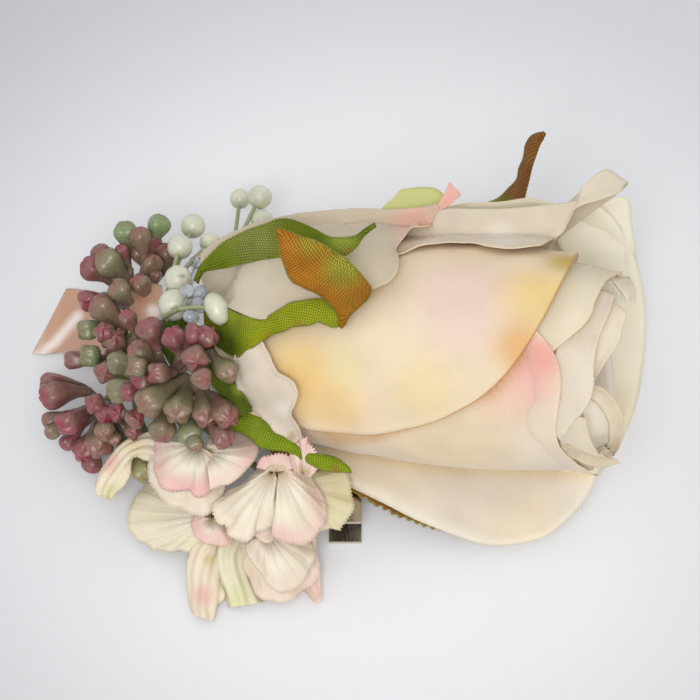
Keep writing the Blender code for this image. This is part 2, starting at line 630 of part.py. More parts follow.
def blossom_bodies(leaves, via, centre, size, petals):
    bodies = [ball(centre, size, sides=8, rings=4), stem(leaves, centre, via=via, rows=7)]
    for bend, tip, face, spread in petals:
        root = np.asarray(centre) + 0.6 * size * unit(np.subtract(bend, centre))
        bodies.append(fan(root, bend, tip, face, spread))
    return bodies


# Ribbon
RIBBON_TAIL_ROUTE = (
    (-47.2, 12.1, 10.4), (-49.8, 17.0, 5.6), (-53.5, 21.8, 1.8), (-58.5, 24.8, 0.5), (-64.5, 25.4, 0.3),
)
RIBBON_TAIL_ACROSS = ((-0.9, -0.42, 0), (-0.8, -0.6, 0), (-0.6, -0.8, 0), (-0.3, -0.95, 0), (-0.05, -1, 0))
RIBBON_TAIL_HALVES = (3.0, 5.6, 7.6, 8.0, 8.2)
RIBBON_SLANT = 2.5
WRAP_FROM, WRAP_TO = 0.38, 0.62
WRAP_THICK = 0.9


def wrap_body():
    """The ribbon's turns round the bundle."""
    at = route(BUNDLE_ROUTE, 41)[round(WRAP_FROM * 40):round(WRAP_TO * 40) + 1:3]
    return ring(at, BUNDLE_RADIUS + GAP, BUNDLE_RADIUS + GAP + WRAP_THICK, 16)


# The clip


def bent_plate(line, width, thick=CLIP_METAL):
    """A bent strip of sheet metal along a line of (y, z) points, centred on the clip."""
    grid = np.array([[(CLIP_X + side * width / 2, y, z) for side in (-1, 1)] for y, z in line])
    return sheet(grid, thick)


def block(low, high):
    x, y, z = np.meshgrid(*zip(low, high), indexing="ij")
    points = np.stack([x.ravel(), y.ravel(), z.ravel()], 1)
    faces = [
        (0, 1, 3), (0, 3, 2), (4, 6, 7), (4, 7, 5), (0, 4, 5), (0, 5, 1),
        (2, 3, 7), (2, 7, 6), (0, 2, 6), (0, 6, 4), (1, 5, 7), (1, 7, 3),
    ]
    return closed(points, faces)


EAR_HALF = 2.4
EAR_METAL = 0.7
SPRING_WIRE = 0.7
UPPER_LINE = (
    (CLIP_TIP_Y, 4.4), (0.0, 6.0), (-8.0, 7.0), (CLIP_PIN_Y, 7.4), (-18.0, 7.6), (CLIP_LEVER_Y + 1.0, 7.8),
)
LOWER_LINE = (
    (CLIP_TIP_Y, 3.2), (0.0, 1.9), (-8.0, 1.1), (CLIP_PIN_Y, 0.9), (-18.0, 0.85), (CLIP_LEVER_Y, 0.75),
)


def eared_arm(name, line, ear_x, ear_low, ear_high, finish, parent, centre=(0.0, 0.0, 0.0)):
    """One arm of the clip with its two ears, bored for the pin."""
    bodies = [bent_plate(line, CLIP_WIDTH)]
    for side in (-1, 1):
        inner = CLIP_X + side * ear_x
        outer = inner + side * EAR_METAL
        low = (min(inner, outer), CLIP_PIN_Y - EAR_HALF, ear_low)
        bodies.append(block(low, (max(inner, outer), CLIP_PIN_Y + EAR_HALF, ear_high)))
    arm = fused(name, bodies, finish, parent, centre)
    reach = CLIP_WIDTH
    ends = np.array([(CLIP_X - reach, CLIP_PIN_Y, CLIP_PIN_Z), (CLIP_X + reach, CLIP_PIN_Y, CLIP_PIN_Z)])
    bore = add(name + "_bore", tube(ends, CLIP_PIN_RADIUS + GAP, 12), finish, parent, centre)
    cut = arm.modifiers.new("bore", "BOOLEAN")
    cut.operation = "DIFFERENCE"
    cut.object = bore
    graph = bpy.context.evaluated_depsgraph_get()
    arm.data = bpy.data.meshes.new_from_object(arm.evaluated_get(graph))
    arm.modifiers.remove(cut)
    bpy.data.objects.remove(bore)
    return arm


def main():
    for old in list(bpy.data.objects):
        bpy.data.objects.remove(old)

    root = bpy.data.objects.new("corsage", None)
    root.location = np.array(FRAME_SHIFT) * MM
    bpy.context.scene.collection.objects.link(root)
    hinge_at = (CLIP_X, CLIP_PIN_Y, CLIP_PIN_Z)
    hinge = bpy.data.objects.new("clip_hinge", None)
    hinge.location = np.array(hinge_at) * MM
    hinge.parent = root
    bpy.context.scene.collection.objects.link(hinge)

    cream = material("cream_silk", (0.86, 0.74, 0.52), 0.75)
    blush = material("blush_silk", (0.88, 0.62, 0.50), 0.75)
    gold = material("gold_silk", (0.87, 0.68, 0.34), 0.75)
    leaf_green = material("leaf_green", (0.16, 0.26, 0.04), 0.7)
    leaf_brown = material("leaf_brown", (0.30, 0.19, 0.05), 0.7)
    tape = material("stem_tape", (0.14, 0.20, 0.06), 0.8)
    plum = material("plum_bud", (0.22, 0.06, 0.09), 0.4)
    berry = material("berry_green", (0.58, 0.62, 0.45), 0.35)
    bead = material("clear_bead", (0.8, 0.85, 0.82), 0.05)
    satin = material("peach_satin", (0.80, 0.52, 0.38), 0.35)
    nickel = material("nickel", (0.70, 0.69, 0.67), 0.25, 1.0)

    finishes = {"rose_petal_1": blush, "rose_petal_2": gold}
    for name, spec in ROSE_PETALS.items():
        add(name, sheet(petal_grid(**spec), CLOTH), finishes.get(name, cream), root)
    fused("rose_heart", [heart_body(), *map(heart_roll, HEART_ROLLS)], cream, root)
    add("calyx", calyx_body(), leaf_green, root)

    for name, spec in SEPALS.items():
        path = [in_bud(*point) for point in spec["path"]]
        across = [a * ALONG + f * FRONT + u * UP for a, f, u in spec["across"]]
        body = strip(path, across, spec["half"], spec["rows"], 3, camber=0.08, teeth=0.18)
        add(name, body, leaf_brown if name == "sepal_2" else leaf_green, root)
    for name, spec in LEAVES.items():
        body = strip(spec["path"], spec["across"], spec["half"], 20, 4, camber=0.1, teeth=0.14)
        add(name, body, leaf_brown, root)

    add("stem_bundle", tube(route(BUNDLE_ROUTE, 7), BUNDLE_RADIUS, 12), tape, root)
    for name, spec in BUD_SPRAYS.items():
        fused(name, spray_bodies(**spec), plum, root)
    for name, spec in BERRY_SPRIGS.items():
        fused(name, sprig_bodies(**spec), berry, root)
    fused("bead_sprig", bead_bodies(), bead, root)
    for name, spec in BLOSSOMS.items():
        fused(name, blossom_bodies(**spec), cream, root)

    tail = strip(RIBBON_TAIL_ROUTE, RIBBON_TAIL_ACROSS, RIBBON_TAIL_HALVES, 8, 3, slant=RIBBON_SLANT)
    add("ribbon_tail", tail, satin, root)
    add("ribbon_wrap", wrap_body(), satin, root)

    ears_out = CLIP_WIDTH / 2 - EAR_METAL
    ears_in = ears_out - GAP - EAR_METAL
    eared_arm("clip_arm", UPPER_LINE, ears_out, 2.9, 7.4, nickel, root)
    eared_arm("clip_jaw", LOWER_LINE, ears_in, 0.9, 5.9, nickel, hinge, hinge_at)
    half = CLIP_WIDTH / 2 + 0.3
    pin = np.array([(CLIP_X - half, CLIP_PIN_Y, CLIP_PIN_Z), (CLIP_X + half, CLIP_PIN_Y, CLIP_PIN_Z)])
    add("clip_pin", tube(pin, CLIP_PIN_RADIUS, 12), nickel, root)
    half = ears_in - GAP
    coil = np.array([(CLIP_X - half, CLIP_PIN_Y, CLIP_PIN_Z), (CLIP_X + half, CLIP_PIN_Y, CLIP_PIN_Z)])
    inner = CLIP_PIN_RADIUS + GAP
    add("clip_spring", ring(coil, inner, inner + SPRING_WIRE, 12), nickel, root)


main()
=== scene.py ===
"""The corsage's look: silk petals, cloth leaves, glossy buds and berries, satin ribbon and a nickel clip.

Lengths are in millimetres in the part's own numbers. They are moved by FRAME_SHIFT and scaled to metres as
a mesh is made. An outline taken from the picture is in its pixels, at about 5 to a millimetre.
"""
import math

import bpy
import numpy as np
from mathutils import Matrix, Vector


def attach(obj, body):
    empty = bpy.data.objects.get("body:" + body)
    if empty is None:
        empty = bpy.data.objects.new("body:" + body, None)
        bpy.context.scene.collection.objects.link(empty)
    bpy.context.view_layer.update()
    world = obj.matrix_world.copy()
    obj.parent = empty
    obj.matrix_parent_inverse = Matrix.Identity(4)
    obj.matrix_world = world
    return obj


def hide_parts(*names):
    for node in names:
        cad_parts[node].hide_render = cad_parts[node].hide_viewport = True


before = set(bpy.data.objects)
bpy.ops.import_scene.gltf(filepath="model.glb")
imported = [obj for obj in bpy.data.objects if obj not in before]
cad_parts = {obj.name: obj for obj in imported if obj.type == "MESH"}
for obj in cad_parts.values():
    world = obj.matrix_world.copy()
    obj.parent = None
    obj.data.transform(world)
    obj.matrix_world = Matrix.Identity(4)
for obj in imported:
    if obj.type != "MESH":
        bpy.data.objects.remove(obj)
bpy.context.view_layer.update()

MM = 0.001
FRAME_SHIFT = np.array((2.46, -4.14, 0.06))

# The rose bud and what its petals rest on, as in the part
BUD_FOOT = (-24.7, 5.3, 26.0)
BUD_MOUTH = (50.3, -7.0, 37.0)
BUD_FRONT = (0.0, -0.5, 0.866)
SHELL_RADII = (2.5, 8.0, 13.0, 16.5, 18.8, 20.5, 21.6, 21.2, 19.6, 18.0)
SHELL_HEIGHTS = (0.0, 0.8, 3.5, 9.0, 18.0, 32.0, 48.0, 62.0, 76.0, 90.0)
PETAL_ROOT_RADIUS = 3.3
PINCH = 8.0
LAYER_AT_BASE, LAYER = 1.12, 1.35
FOLD_SOFTNESS = 0.8
CLIP_SIDE_X, TABLE_SIDE_X = 8.0, 40.0
BUNDLE_ROUTE = (
    (-38.2, 7.6, 24.1), (-40.2, 7.8, 23.7), (-42.8, 8.0, 20.4), (-45.0, 8.0, 14.5), (-46.0, 8.0, 8.4),
)
BUNDLE_RADIUS = 3.6
GAP = 0.35

# The least height of a sheet over the table, what counts as no rim near, and the picture's scale
TABLE_CLEAR = 0.25
NO_RIM = 9.0
PIXELS_PER_MM = 5


# Shapes


def unit(vector):
    """Vectors scaled to a length of one."""
    vector = np.asarray(vector, float)
    return vector / np.maximum(np.linalg.norm(vector, axis=-1, keepdims=True), 1e-9)


ALONG = unit(np.subtract(BUD_MOUTH, BUD_FOOT))
FRONT = unit(np.array(BUD_FRONT) - np.dot(BUD_FRONT, ALONG) * ALONG)
UP = np.cross(FRONT, ALONG)


def curve(knots, values, at):
    """A smooth curve through values at knots, read at the places asked for and level past its ends."""
    knots, values, at = np.asarray(knots, float), np.asarray(values, float), np.asarray(at, float)
    slopes = np.gradient(values, knots, axis=0)
    at = np.clip(at, knots[0], knots[-1])
    i = np.clip(np.searchsorted(knots, at, side="right") - 1, 0, len(knots) - 2)
    width = knots[i + 1] - knots[i]
    f = (at - knots[i]) / width
    if values.ndim > 1:
        width, f = width[..., None], f[..., None]
    rise = f * f * (3 - 2 * f)
    start = width * slopes[i] * f * (1 - f) ** 2
    end = width * slopes[i + 1] * f * f * (f - 1)
    return values[i] * (1 - rise) + values[i + 1] * rise + start + end


def chords(points, axis=0):
    """The length run to each point of a path, or of a grid along one of its axes."""
    steps = np.linalg.norm(np.diff(points, axis=axis), axis=-1)
    return np.concatenate([0 * np.take(steps, [0], axis), np.cumsum(steps, axis)], axis)


def route(points, samples):
    """Evenly spaced points along a smooth path."""
    points = np.asarray(points, float)
    lengths = chords(points)
    return curve(lengths, points, np.linspace(0, lengths[-1], samples))


def step(at, low, high):
    """A smooth step from 0 at the low end to 1 at the high end."""
    f = np.clip((np.asarray(at, float) - low) / (high - low), 0, 1)
    return f * f * (3 - 2 * f)


def lifted(points, floor_by_clip, floor_by_table):
    """Points raised softly to a floor that falls from the clip's side to the table's."""
    points = np.array(points, float)
    share = step(points[..., 0], CLIP_SIDE_X, TABLE_SIDE_X)
    floor = floor_by_clip + (floor_by_table - floor_by_clip) * share
    points[..., 2] = floor + FOLD_SOFTNESS * np.logaddexp(0, (points[..., 2] - floor) / FOLD_SOFTNESS)
    return points


def in_bud(height, front, up):
    """A place given along the bud's axis, to its front and up from it."""
    return np.array(BUD_FOOT) + height * ALONG + front * FRONT + up * UP


def round_bud(height, degrees, radius):
    """A place round the bud's axis, from its front at 0 degrees."""
    angle = math.radians(degrees)
    return in_bud(height, radius * math.cos(angle), radius * math.sin(angle))


SHELL_PROFILE = np.stack([SHELL_RADII, SHELL_HEIGHTS], 1)
SHELL_LENGTHS = chords(SHELL_PROFILE)
SHELL_STATIONS = np.linspace(0, SHELL_LENGTHS[-1], 400)
SHELL_SAMPLES = curve(SHELL_LENGTHS, SHELL_PROFILE, SHELL_STATIONS)


def shell(length):
    """The bud's profile at a length along it: radius, height, and the way out of it in both."""
    here = curve(SHELL_LENGTHS, SHELL_PROFILE, length)
    ahead = curve(SHELL_LENGTHS, SHELL_PROFILE, np.asarray(length) + 0.05)
    behind = curve(SHELL_LENGTHS, SHELL_PROFILE, np.asarray(length) - 0.05)
    tangent = unit(ahead - behind)
    return here[..., 0], here[..., 1], tangent[..., 1], -tangent[..., 0]


def shell_length(column, value):
    """Where the bud's profile has a radius, column 0, or a height, column 1."""
    return float(np.interp(value, SHELL_SAMPLES[:, column], SHELL_STATIONS))


# The camera, and places in the part that a picture's coordinates lead to

TARGET = np.array((0.0, 0.0, 32.0))
DISTANCE = 550.0
ELEVATION = math.radians(60)
SIDEWAYS = np.array((1.0, 0.0, 0.0))
TOWARD = np.array((0.0, -math.cos(ELEVATION), math.sin(ELEVATION)))
PICTURE_UP = np.array((0.0, math.sin(ELEVATION), math.cos(ELEVATION)))
EYE = TARGET + DISTANCE * TOWARD
FOCAL, CENTRE = 2750.0, 350.0


def sight(x, y):
    """The way that the camera looks at a point of the picture."""
    x, y = (np.asarray(v, float)[..., None] for v in (x, y))
    return (x - CENTRE) / FOCAL * SIDEWAYS + (CENTRE - y) / FOCAL * PICTURE_UP - TOWARD


def at_near(x, y, near):
    """The place seen at a point of the picture, so near to the camera from its target's plane."""
    return EYE + (DISTANCE - np.asarray(near, float))[..., None] * sight(x, y)


def at_height(x, y, height):
    """The place seen at a point of the picture, so high over the table."""
    way = sight(x, y)
    return EYE + way * ((np.asarray(height, float) - EYE[2]) / way[..., 2])[..., None]


def on_shell(x, y, layer):
    """The place seen on the bud's shell grown by a layer, or beside the axis where the shell is missed."""
    x, y, layer = np.broadcast_arrays(*(np.asarray(v, float) for v in (x, y, layer)))
    way = sight(x, y)
    start = EYE + DISTANCE * way - np.array(BUD_FOOT)
    a = start - (start @ ALONG)[..., None] * ALONG
    b = way - (way @ ALONG)[..., None] * ALONG
    low = np.sum(a * b, -1) / np.sum(b * b, -1)
    high = low + 60

    def outside(near):
        at = start - near[..., None] * way
        height = at @ ALONG
        distance = np.linalg.norm(at - height[..., None] * ALONG, axis=-1)
        return distance - np.interp(height, SHELL_SAMPLES[:, 1], SHELL_SAMPLES[:, 0]) - layer

    missed = outside(low) > 0
    nearest = low
    for _ in range(26):
        middle = (low + high) / 2
        beyond = outside(middle) > 0
        low, high = np.where(beyond, low, middle), np.where(beyond, middle, high)
    return at_near(x, y, np.where(missed, nearest, low))


def seen_at(point):
    """Where the camera's picture shows a place."""
    away = np.asarray(point, float) - EYE
    depth = -(away @ TOWARD)
    return CENTRE + FOCAL * (away @ SIDEWAYS) / depth, CENTRE - FOCAL * (away @ PICTURE_UP) / depth


def edge(*points, third=(0.0,)):
    """Points of the picture with a third coordinate that changes evenly along them."""
    points = np.array(points, float)
    along = chords(points)
    return np.column_stack([points, np.interp(along, np.linspace(0, along[-1], len(third)), third)])


def between(first, second, columns, rows, bulge=0.0):
    """A grid between two edges, bulged in the third coordinate."""
    first, second = route(first, columns + 1), route(second, columns + 1)
    share = np.linspace(0, 1, rows + 1)[None, :, None]
    grid = first[:, None] * (1 - share) + second[:, None] * share
    grid[..., 2] += bulge * 4 * (share * (1 - share))[..., 0]
    return grid


def spanned(first, first_third, second, second_third, *cells):
    """A grid between two lines of the picture, each with its third coordinate."""
    return between(edge(*first, third=first_third), edge(*second, third=second_third), *cells)


def fanned(root, rim, columns, rows, bulge=0.0):
    """A grid that fans from a root to a rim."""
    rim = route(rim, columns + 1)
    share = np.linspace(0.03, 1, rows + 1)[None, :, None]
    grid = np.array(root, float) * (1 - share) + rim[:, None] * share
    grid[..., 2] += bulge * np.sin(math.pi * share ** 0.8)[..., 0]
    return grid


def waves(points, seed, length, count=7):
    """A smooth random height field, about -1 to 1, with features of a length."""
    rng = np.random.default_rng(seed)
    total = 0.0
    for _ in range(count):
        way = unit(rng.normal(size=points.shape[-1])) * 2 * math.pi / (length * rng.uniform(0.7, 1.6))
        total = total + np.sin(points @ way + rng.uniform(0, 6.28))
    return total / math.sqrt(count)


def grid_normals(points):
    """The way out of a sheet at each point of its grid."""
    return unit(np.cross(np.gradient(points, axis=0), np.gradient(points, axis=1)))


def rgb(code):
    """A colour given as six hex digits, as light values."""
    raw = np.array([int(code[i:i + 2], 16) for i in (0, 2, 4)]) / 255
    return np.where(raw <= 0.04045, raw / 12.92, ((raw + 0.055) / 1.055) ** 2.4)


def painted(points, base, blobs=()):
    """A colour for each point: a base with soft blobs, each a centre, a radius, a colour and a strength."""
    base = rgb(base) if isinstance(base, str) else base
    colour = np.broadcast_to(base, (*points.shape[:-1], 3)).copy()
    for centre, radius, tint, strength in blobs:
        distance = np.linalg.norm(points - np.asarray(centre, float), axis=-1)
        share = strength * step(radius - distance, 0, 0.85 * radius)[..., None]
        colour = colour * (1 - share) + rgb(tint) * share
    return colour


# Meshes: parts are (points, quads, cloth coordinates, distance to the rim, colours)


def plate(points, thick, cloth, rim, colours):
    """A sheet with two faces and a rim, about a grid of points."""
    rows, columns = points.shape[:2]
    half = grid_normals(points) * thick / 2
    index = np.arange(rows * columns).reshape(rows, columns)
    face = np.stack([index[:-1, :-1], index[1:, :-1], index[1:, 1:], index[:-1, 1:]], -1).reshape(-1, 4)
    border = np.concatenate([index[0, :-1], index[:-1, -1], index[-1, :0:-1], index[:0:-1, 0]])
    ahead = np.roll(border, -1)
    count = rows * columns
    sides = np.stack([border, ahead, ahead + count, border + count], 1)
    both = np.concatenate([(points + half).reshape(-1, 3), (points - half).reshape(-1, 3)])
    quads = np.concatenate([face, face[:, ::-1] + count, sides])
    twice = [np.concatenate([part.reshape(count, -1)] * 2) for part in (cloth, rim, colours)]
    return both, quads, *twice


def rounds(path, radii, sides, colours, lobes=0, lobing=0.0, push=0.0):
    """A round body along a path. Lobing makes it lobed, and push moves its lobes along the path."""
    path = np.asarray(path, float)
    count = len(path)
    radii, lobing, push = (np.broadcast_to(values, count) for values in (radii, lobing, push))
    tangents = unit(np.gradient(path, axis=0))
    across = np.cross(tangents[0], (0.3, 0.2, 0.93))
    angles = np.arange(sides) * 2 * math.pi / sides
    wave = np.cos(lobes * angles)
    rings = []
    for k in range(count):
        across = unit(across - np.dot(across, tangents[k]) * tangents[k])
        other = np.cross(tangents[k], across)
        around = np.outer(np.cos(angles), across) + np.outer(np.sin(angles), other)
        reach = radii[k] * (1 + lobing[k] * (wave - 0.3))
        rings.append(path[k] + reach[:, None] * around + (push[k] * wave)[:, None] * tangents[k])
    caps = np.concatenate([path[:1], path[-1:]])
    points = np.concatenate([*rings, caps])
    index = np.arange(count * sides).reshape(count, sides)
    right = np.roll(index, -1, axis=1)
    quads = np.stack([index[:-1], right[:-1], right[1:], index[1:]], -1).reshape(-1, 4)
    foot, head = count * sides, count * sides + 1
    ends = [(foot, index[0, (k + 1) % sides], index[0, k]) for k in range(sides)]
    ends += [(head, index[-1, k], index[-1, (k + 1) % sides]) for k in range(sides)]
    colours = np.repeat(np.broadcast_to(colours, (count, 3)), sides, axis=0)
    colours = np.concatenate([colours, colours[:1], colours[-1:]])
    lengths = np.repeat(chords(path), sides)
    girth = np.tile(angles, count) * np.repeat(np.maximum(radii, 0.3), sides)
    cloth = np.concatenate([np.stack([girth, lengths], 1), [[0, 0], [0, lengths[-1]]]])
    return points, [*map(tuple, quads), *ends], cloth, np.full((len(points), 1), NO_RIM), colours


def placed(name, data, at=(0, 0, 0), toward=None):
    """An object in the scene, turned to look a way."""
    thing = bpy.data.objects.new(name, data)
    bpy.context.scene.collection.objects.link(thing)
    thing.location = at
    if toward is not None:
        thing.rotation_euler = Vector(toward).to_track_quat("-Z", "Y").to_euler()
    return thing


def made(name, parts, finish, node):
    """One object of parts, riding on the corsage and standing for the node that it replaces."""
    points, quads, cloths, rims, colours = zip(*parts)
    starts = np.cumsum([0, *map(len, points)])
    faces = [tuple(int(i) + start for i in face) for start, part in zip(starts, quads) for face in part]
    points = (np.concatenate(points) + FRAME_SHIFT) * MM
    mesh = bpy.data.meshes.new(name)
    mesh.from_pydata(points.tolist(), [], faces)
    mesh.shade_smooth()
    loops = np.empty(len(mesh.loops), np.int32)
    mesh.loops.foreach_get("vertex_index", loops)
    mesh.uv_layers.new(name="cloth").data.foreach_set("uv", np.concatenate(cloths)[loops].ravel())
    rim = np.concatenate(rims) * (1, 0)
    mesh.uv_layers.new(name="rim").data.foreach_set("uv", rim[loops].ravel())
    paint = mesh.color_attributes.new("paint", "FLOAT_COLOR", "POINT")
    colour = np.concatenate(colours)
    paint.data.foreach_set("color", np.concatenate([colour, np.ones((len(colour), 1))], 1).ravel())
    mesh.materials.append(finish)
    piece = placed(name, mesh)
    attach(piece, "corsage")
    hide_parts(node)
    return piece


# Materials


THREAD_WANDER = 0.72


class Nodes:
    """A material's node tree, with short ways to add to it."""

    def __init__(self, name):
        self.material = bpy.data.materials.new(name)
        self.material.use_nodes = True
        self.tree = self.material.node_tree
        self.shader = self.tree.nodes["Principled BSDF"]

    def set(self, **values):
        for key, value in values.items():
            self.shader.inputs[key.replace("_", " ")].default_value = value

    def link(self, output, name):
        self.tree.links.new(output, self.shader.inputs[name])

    def put(self, socket, value):
        if isinstance(value, bpy.types.NodeSocket):
            self.tree.links.new(value, socket)
        else:
            socket.default_value = value

    def math(self, operation, *values):
        node = self.tree.nodes.new("ShaderNodeMath")
        node.operation = operation
        for socket, value in zip(node.inputs, values):
            self.put(socket, value)
        return node.outputs[0]

    def smooth(self, value, low, high, to_low=0.0, to_high=1.0):
        node = self.tree.nodes.new("ShaderNodeMapRange")
        node.interpolation_type = "SMOOTHSTEP"
        for socket, value in zip(node.inputs, (value, low, high, to_low, to_high)):
            self.put(socket, value)
        return node.outputs["Result"]

    def mix(self, share, a, b, blend="MIX"):
        node = self.tree.nodes.new("ShaderNodeMix")
        node.data_type = "RGBA"
        node.blend_type = blend
        self.put(node.inputs["Factor"], share)
        self.put(node.inputs["A"], a if isinstance(a, bpy.types.NodeSocket) else (*a, 1.0))
        self.put(node.inputs["B"], b if isinstance(b, bpy.types.NodeSocket) else (*b, 1.0))
        return node.outputs["Result"]

    def grey(self, value):
        node = self.tree.nodes.new("ShaderNodeCombineColor")
        for socket in node.inputs:
            self.put(socket, value)
        return node.outputs[0]

    def noise(self, vector, scale, detail=2.0, roughness=0.5):
        node = self.tree.nodes.new("ShaderNodeTexNoise")
        node.inputs["Scale"].default_value = scale
        node.inputs["Detail"].default_value = detail
        node.inputs["Roughness"].default_value = roughness
        self.tree.links.new(vector, node.inputs["Vector"])
        return node.outputs["Fac"]

    def uv(self, name):
        node = self.tree.nodes.new("ShaderNodeUVMap")
        node.uv_map = name
        return node.outputs[0]

    def parts(self, vector):
        node = self.tree.nodes.new("ShaderNodeSeparateXYZ")
        self.tree.links.new(vector, node.inputs[0])
        return node.outputs[0], node.outputs[1]

    def scaled(self, vector, x, y, z=1.0):
        node = self.tree.nodes.new("ShaderNodeVectorMath")
        node.operation = "MULTIPLY"
        self.tree.links.new(vector, node.inputs[0])
        node.inputs[1].default_value = (x, y, z)
        return node.outputs[0]

    def place(self):
        return self.tree.nodes.new("ShaderNodeTexCoord").outputs["Object"]

    def paint(self):
        node = self.tree.nodes.new("ShaderNodeAttribute")
        node.attribute_name = "paint"
        return node.outputs["Color"]

    def bump(self, height, strength, distance):
        node = self.tree.nodes.new("ShaderNodeBump")
        node.inputs["Strength"].default_value = strength
        node.inputs["Distance"].default_value = distance * MM
        self.tree.links.new(height, node.inputs["Height"])
        self.link(node.outputs[0], "Normal")

    def threads(self, pitch_x, pitch_y, turn=0.0):
        """A plain weave's two waves, of a pitch each way and wandering a little."""
        cloth = self.uv("cloth")
        slub = self.noise(self.scaled(cloth, 0.5, 0.12), 1.0, 2.0)
        x, y = self.parts(cloth)
        if turn:
            c, s = math.cos(math.radians(turn)), math.sin(math.radians(turn))
            turned = self.math("ADD", self.math("MULTIPLY", x, c), self.math("MULTIPLY", y, s))
            y = self.math("SUBTRACT", self.math("MULTIPLY", y, c), self.math("MULTIPLY", x, s))
            x = turned
        bent = self.math("MULTIPLY", self.math("SUBTRACT", slub, 0.5), THREAD_WANDER)
        return [self.math("SINE", self.math("MULTIPLY", self.math("ADD", way, bent), 2 * math.pi / pitch))
                for way, pitch in ((x, pitch_x), (y, pitch_y))]

    def raised(self, wave):
        """A wave from -1 to 1 as a height from 0 to 1."""
        return self.math("MULTIPLY_ADD", wave, 0.5, 0.5)

    def dyed(self, tone, rim=None, rim_width=0.0, rim_share=0.0):
        """The paint darkened by a tone, with a rim of another colour."""
        colour = self.mix(1.0, self.paint(), self.grey(tone), "MULTIPLY")
        if rim:
            share = self.smooth(self.parts(self.uv("rim"))[0], 0.0, rim_width, rim_share, 0.0)
            colour = self.mix(share, colour, rgb(rim))
        self.link(colour, "Base Color")


def silk(name, rim, rim_width=0.35, rim_share=0.55, rib=0.5, shade=0.07, relief=0.5):
    """Fine woven silk: ribs across the petal, a mottled dye, and a darker hot-cut rim."""
    n = Nodes(name)
    sine_x, sine_y = n.threads(0.50, 0.54)
    cross = n.math("MULTIPLY", sine_x, sine_y)
    height = n.raised(n.math("ADD", n.math("MULTIPLY", sine_y, rib), n.math("MULTIPLY", cross, 1 - rib)))
    place = n.place()
    mottle = n.smooth(n.noise(place, 160, 3), 0.25, 0.75, 0.905, 0.96)
    # Darker between the threads, by shade: painted shade of the weave
    fine = n.smooth(height, 0.0, 1.0, 1 - shade, 1.02)
    n.dyed(n.math("MULTIPLY", mottle, fine), rim, rim_width, rim_share)
    n.bump(n.math("ADD", height, n.math("MULTIPLY", n.noise(place, 700, 3), 0.8)), relief, 0.07)
    n.set(Roughness=0.62, Sheen_Weight=0.1, Sheen_Roughness=0.4, Specular_IOR_Level=0.3)
    n.set(Subsurface_Weight=0.12, Subsurface_Radius=(1.0, 0.7, 0.45), Subsurface_Scale=0.0015)
    return n.material


def leaf_cloth(name):
    """Coarse woven cloth, its thread crests painted lighter than the dye between them: painted highlights."""
    n = Nodes(name)
    height = n.raised(n.math("MULTIPLY", *n.threads(0.78, 0.66, turn=32)))
    # Thread crests up to 1.6 times lighter: painted highlights on the weave
    crest = n.smooth(height, 0.3, 0.97, 0.64, 1.6)
    mottle = n.smooth(n.noise(n.place(), 220, 3), 0.25, 0.75, 0.85, 1.12)
    n.dyed(n.math("MULTIPLY", crest, mottle), "A9B35E", 0.5, 0.5)
    n.bump(height, 0.7, 0.12)
    n.set(Roughness=0.6, Specular_IOR_Level=0.12)
    return n.material


def blossom_silk(name):
    """Shimmering pleated cloth."""
    n = Nodes(name)
    height = n.raised(n.math("MULTIPLY", *n.threads(0.6, 0.56, turn=12)))
    # Darker between the threads: painted shade of the weave
    n.dyed(n.smooth(height, 0.1, 0.95, 0.88, 0.98), "EFC9A8", 0.35, 0.4)
    n.bump(n.math("ADD", height, n.noise(n.place(), 900, 2)), 0.6, 0.08)
    n.set(Roughness=0.42, Sheen_Weight=0.35, Sheen_Roughness=0.3, Specular_IOR_Level=0.6)
    n.set(Subsurface_Weight=0.12, Subsurface_Radius=(1.0, 0.75, 0.6), Subsurface_Scale=0.001)
    return n.material


def bud_plastic(name):
    """Glossy plastic, plum with patches of green."""
    n = Nodes(name)
    place = n.place()
    patch = n.smooth(n.noise(place, 420, 3, 0.6), 0.35, 0.7, 0.0, 1.0)
    speck = n.smooth(n.noise(place, 1600, 2), 0.3, 0.7, 0.86, 1.1)
    colour = n.mix(n.math("MULTIPLY", patch, 0.28), n.paint(), rgb("7F9070"))
    n.link(n.mix(1.0, colour, n.grey(speck), "MULTIPLY"), "Base Color")
    n.bump(n.noise(place, 1100, 3), 0.35, 0.15)
    n.set(Roughness=0.32, Specular_IOR_Level=0.5, Coat_Weight=0.25, Coat_Roughness=0.2)
    n.set(Subsurface_Weight=0.1, Subsurface_Radius=(1.0, 0.5, 0.4), Subsurface_Scale=0.0008)
    return n.material


def berry_skin(name):
    """Waxy, faintly streaked skin."""
    n = Nodes(name)
    place = n.place()
    n.dyed(n.smooth(n.noise(place, 380, 3, 0.6), 0.3, 0.7, 0.9, 1.06))
    n.bump(n.noise(place, 1500, 2), 0.2, 0.1)
    n.set(Roughness=0.3, Specular_IOR_Level=0.5, Coat_Weight=0.2, Coat_Roughness=0.2)
    n.set(Subsurface_Weight=0.2, Subsurface_Radius=(1.0, 1.0, 0.7), Subsurface_Scale=0.0015)
    return n.material


def satin(name):
    """Satin ribbon: fine floats across it, and soft watered bands."""
    n = Nodes(name)
    cloth = n.uv("cloth")
    floats = n.math("SINE", n.math("MULTIPLY", n.parts(cloth)[1], 2 * math.pi / 0.35))
    band = n.noise(n.scaled(cloth, 0.1, 0.25), 1.0, 1)
    n.dyed(n.smooth(n.math("ADD", band, n.math("MULTIPLY", floats, 0.05)), 0.3, 0.75, 0.94, 1.04))
    n.bump(n.math("ADD", n.math("MULTIPLY", floats, 0.5), n.math("MULTIPLY", band, 2.0)), 0.4, 0.06)
    n.set(Roughness=0.3, Specular_IOR_Level=0.75, Sheen_Weight=0.3, Anisotropic=0.6)
    return n.material


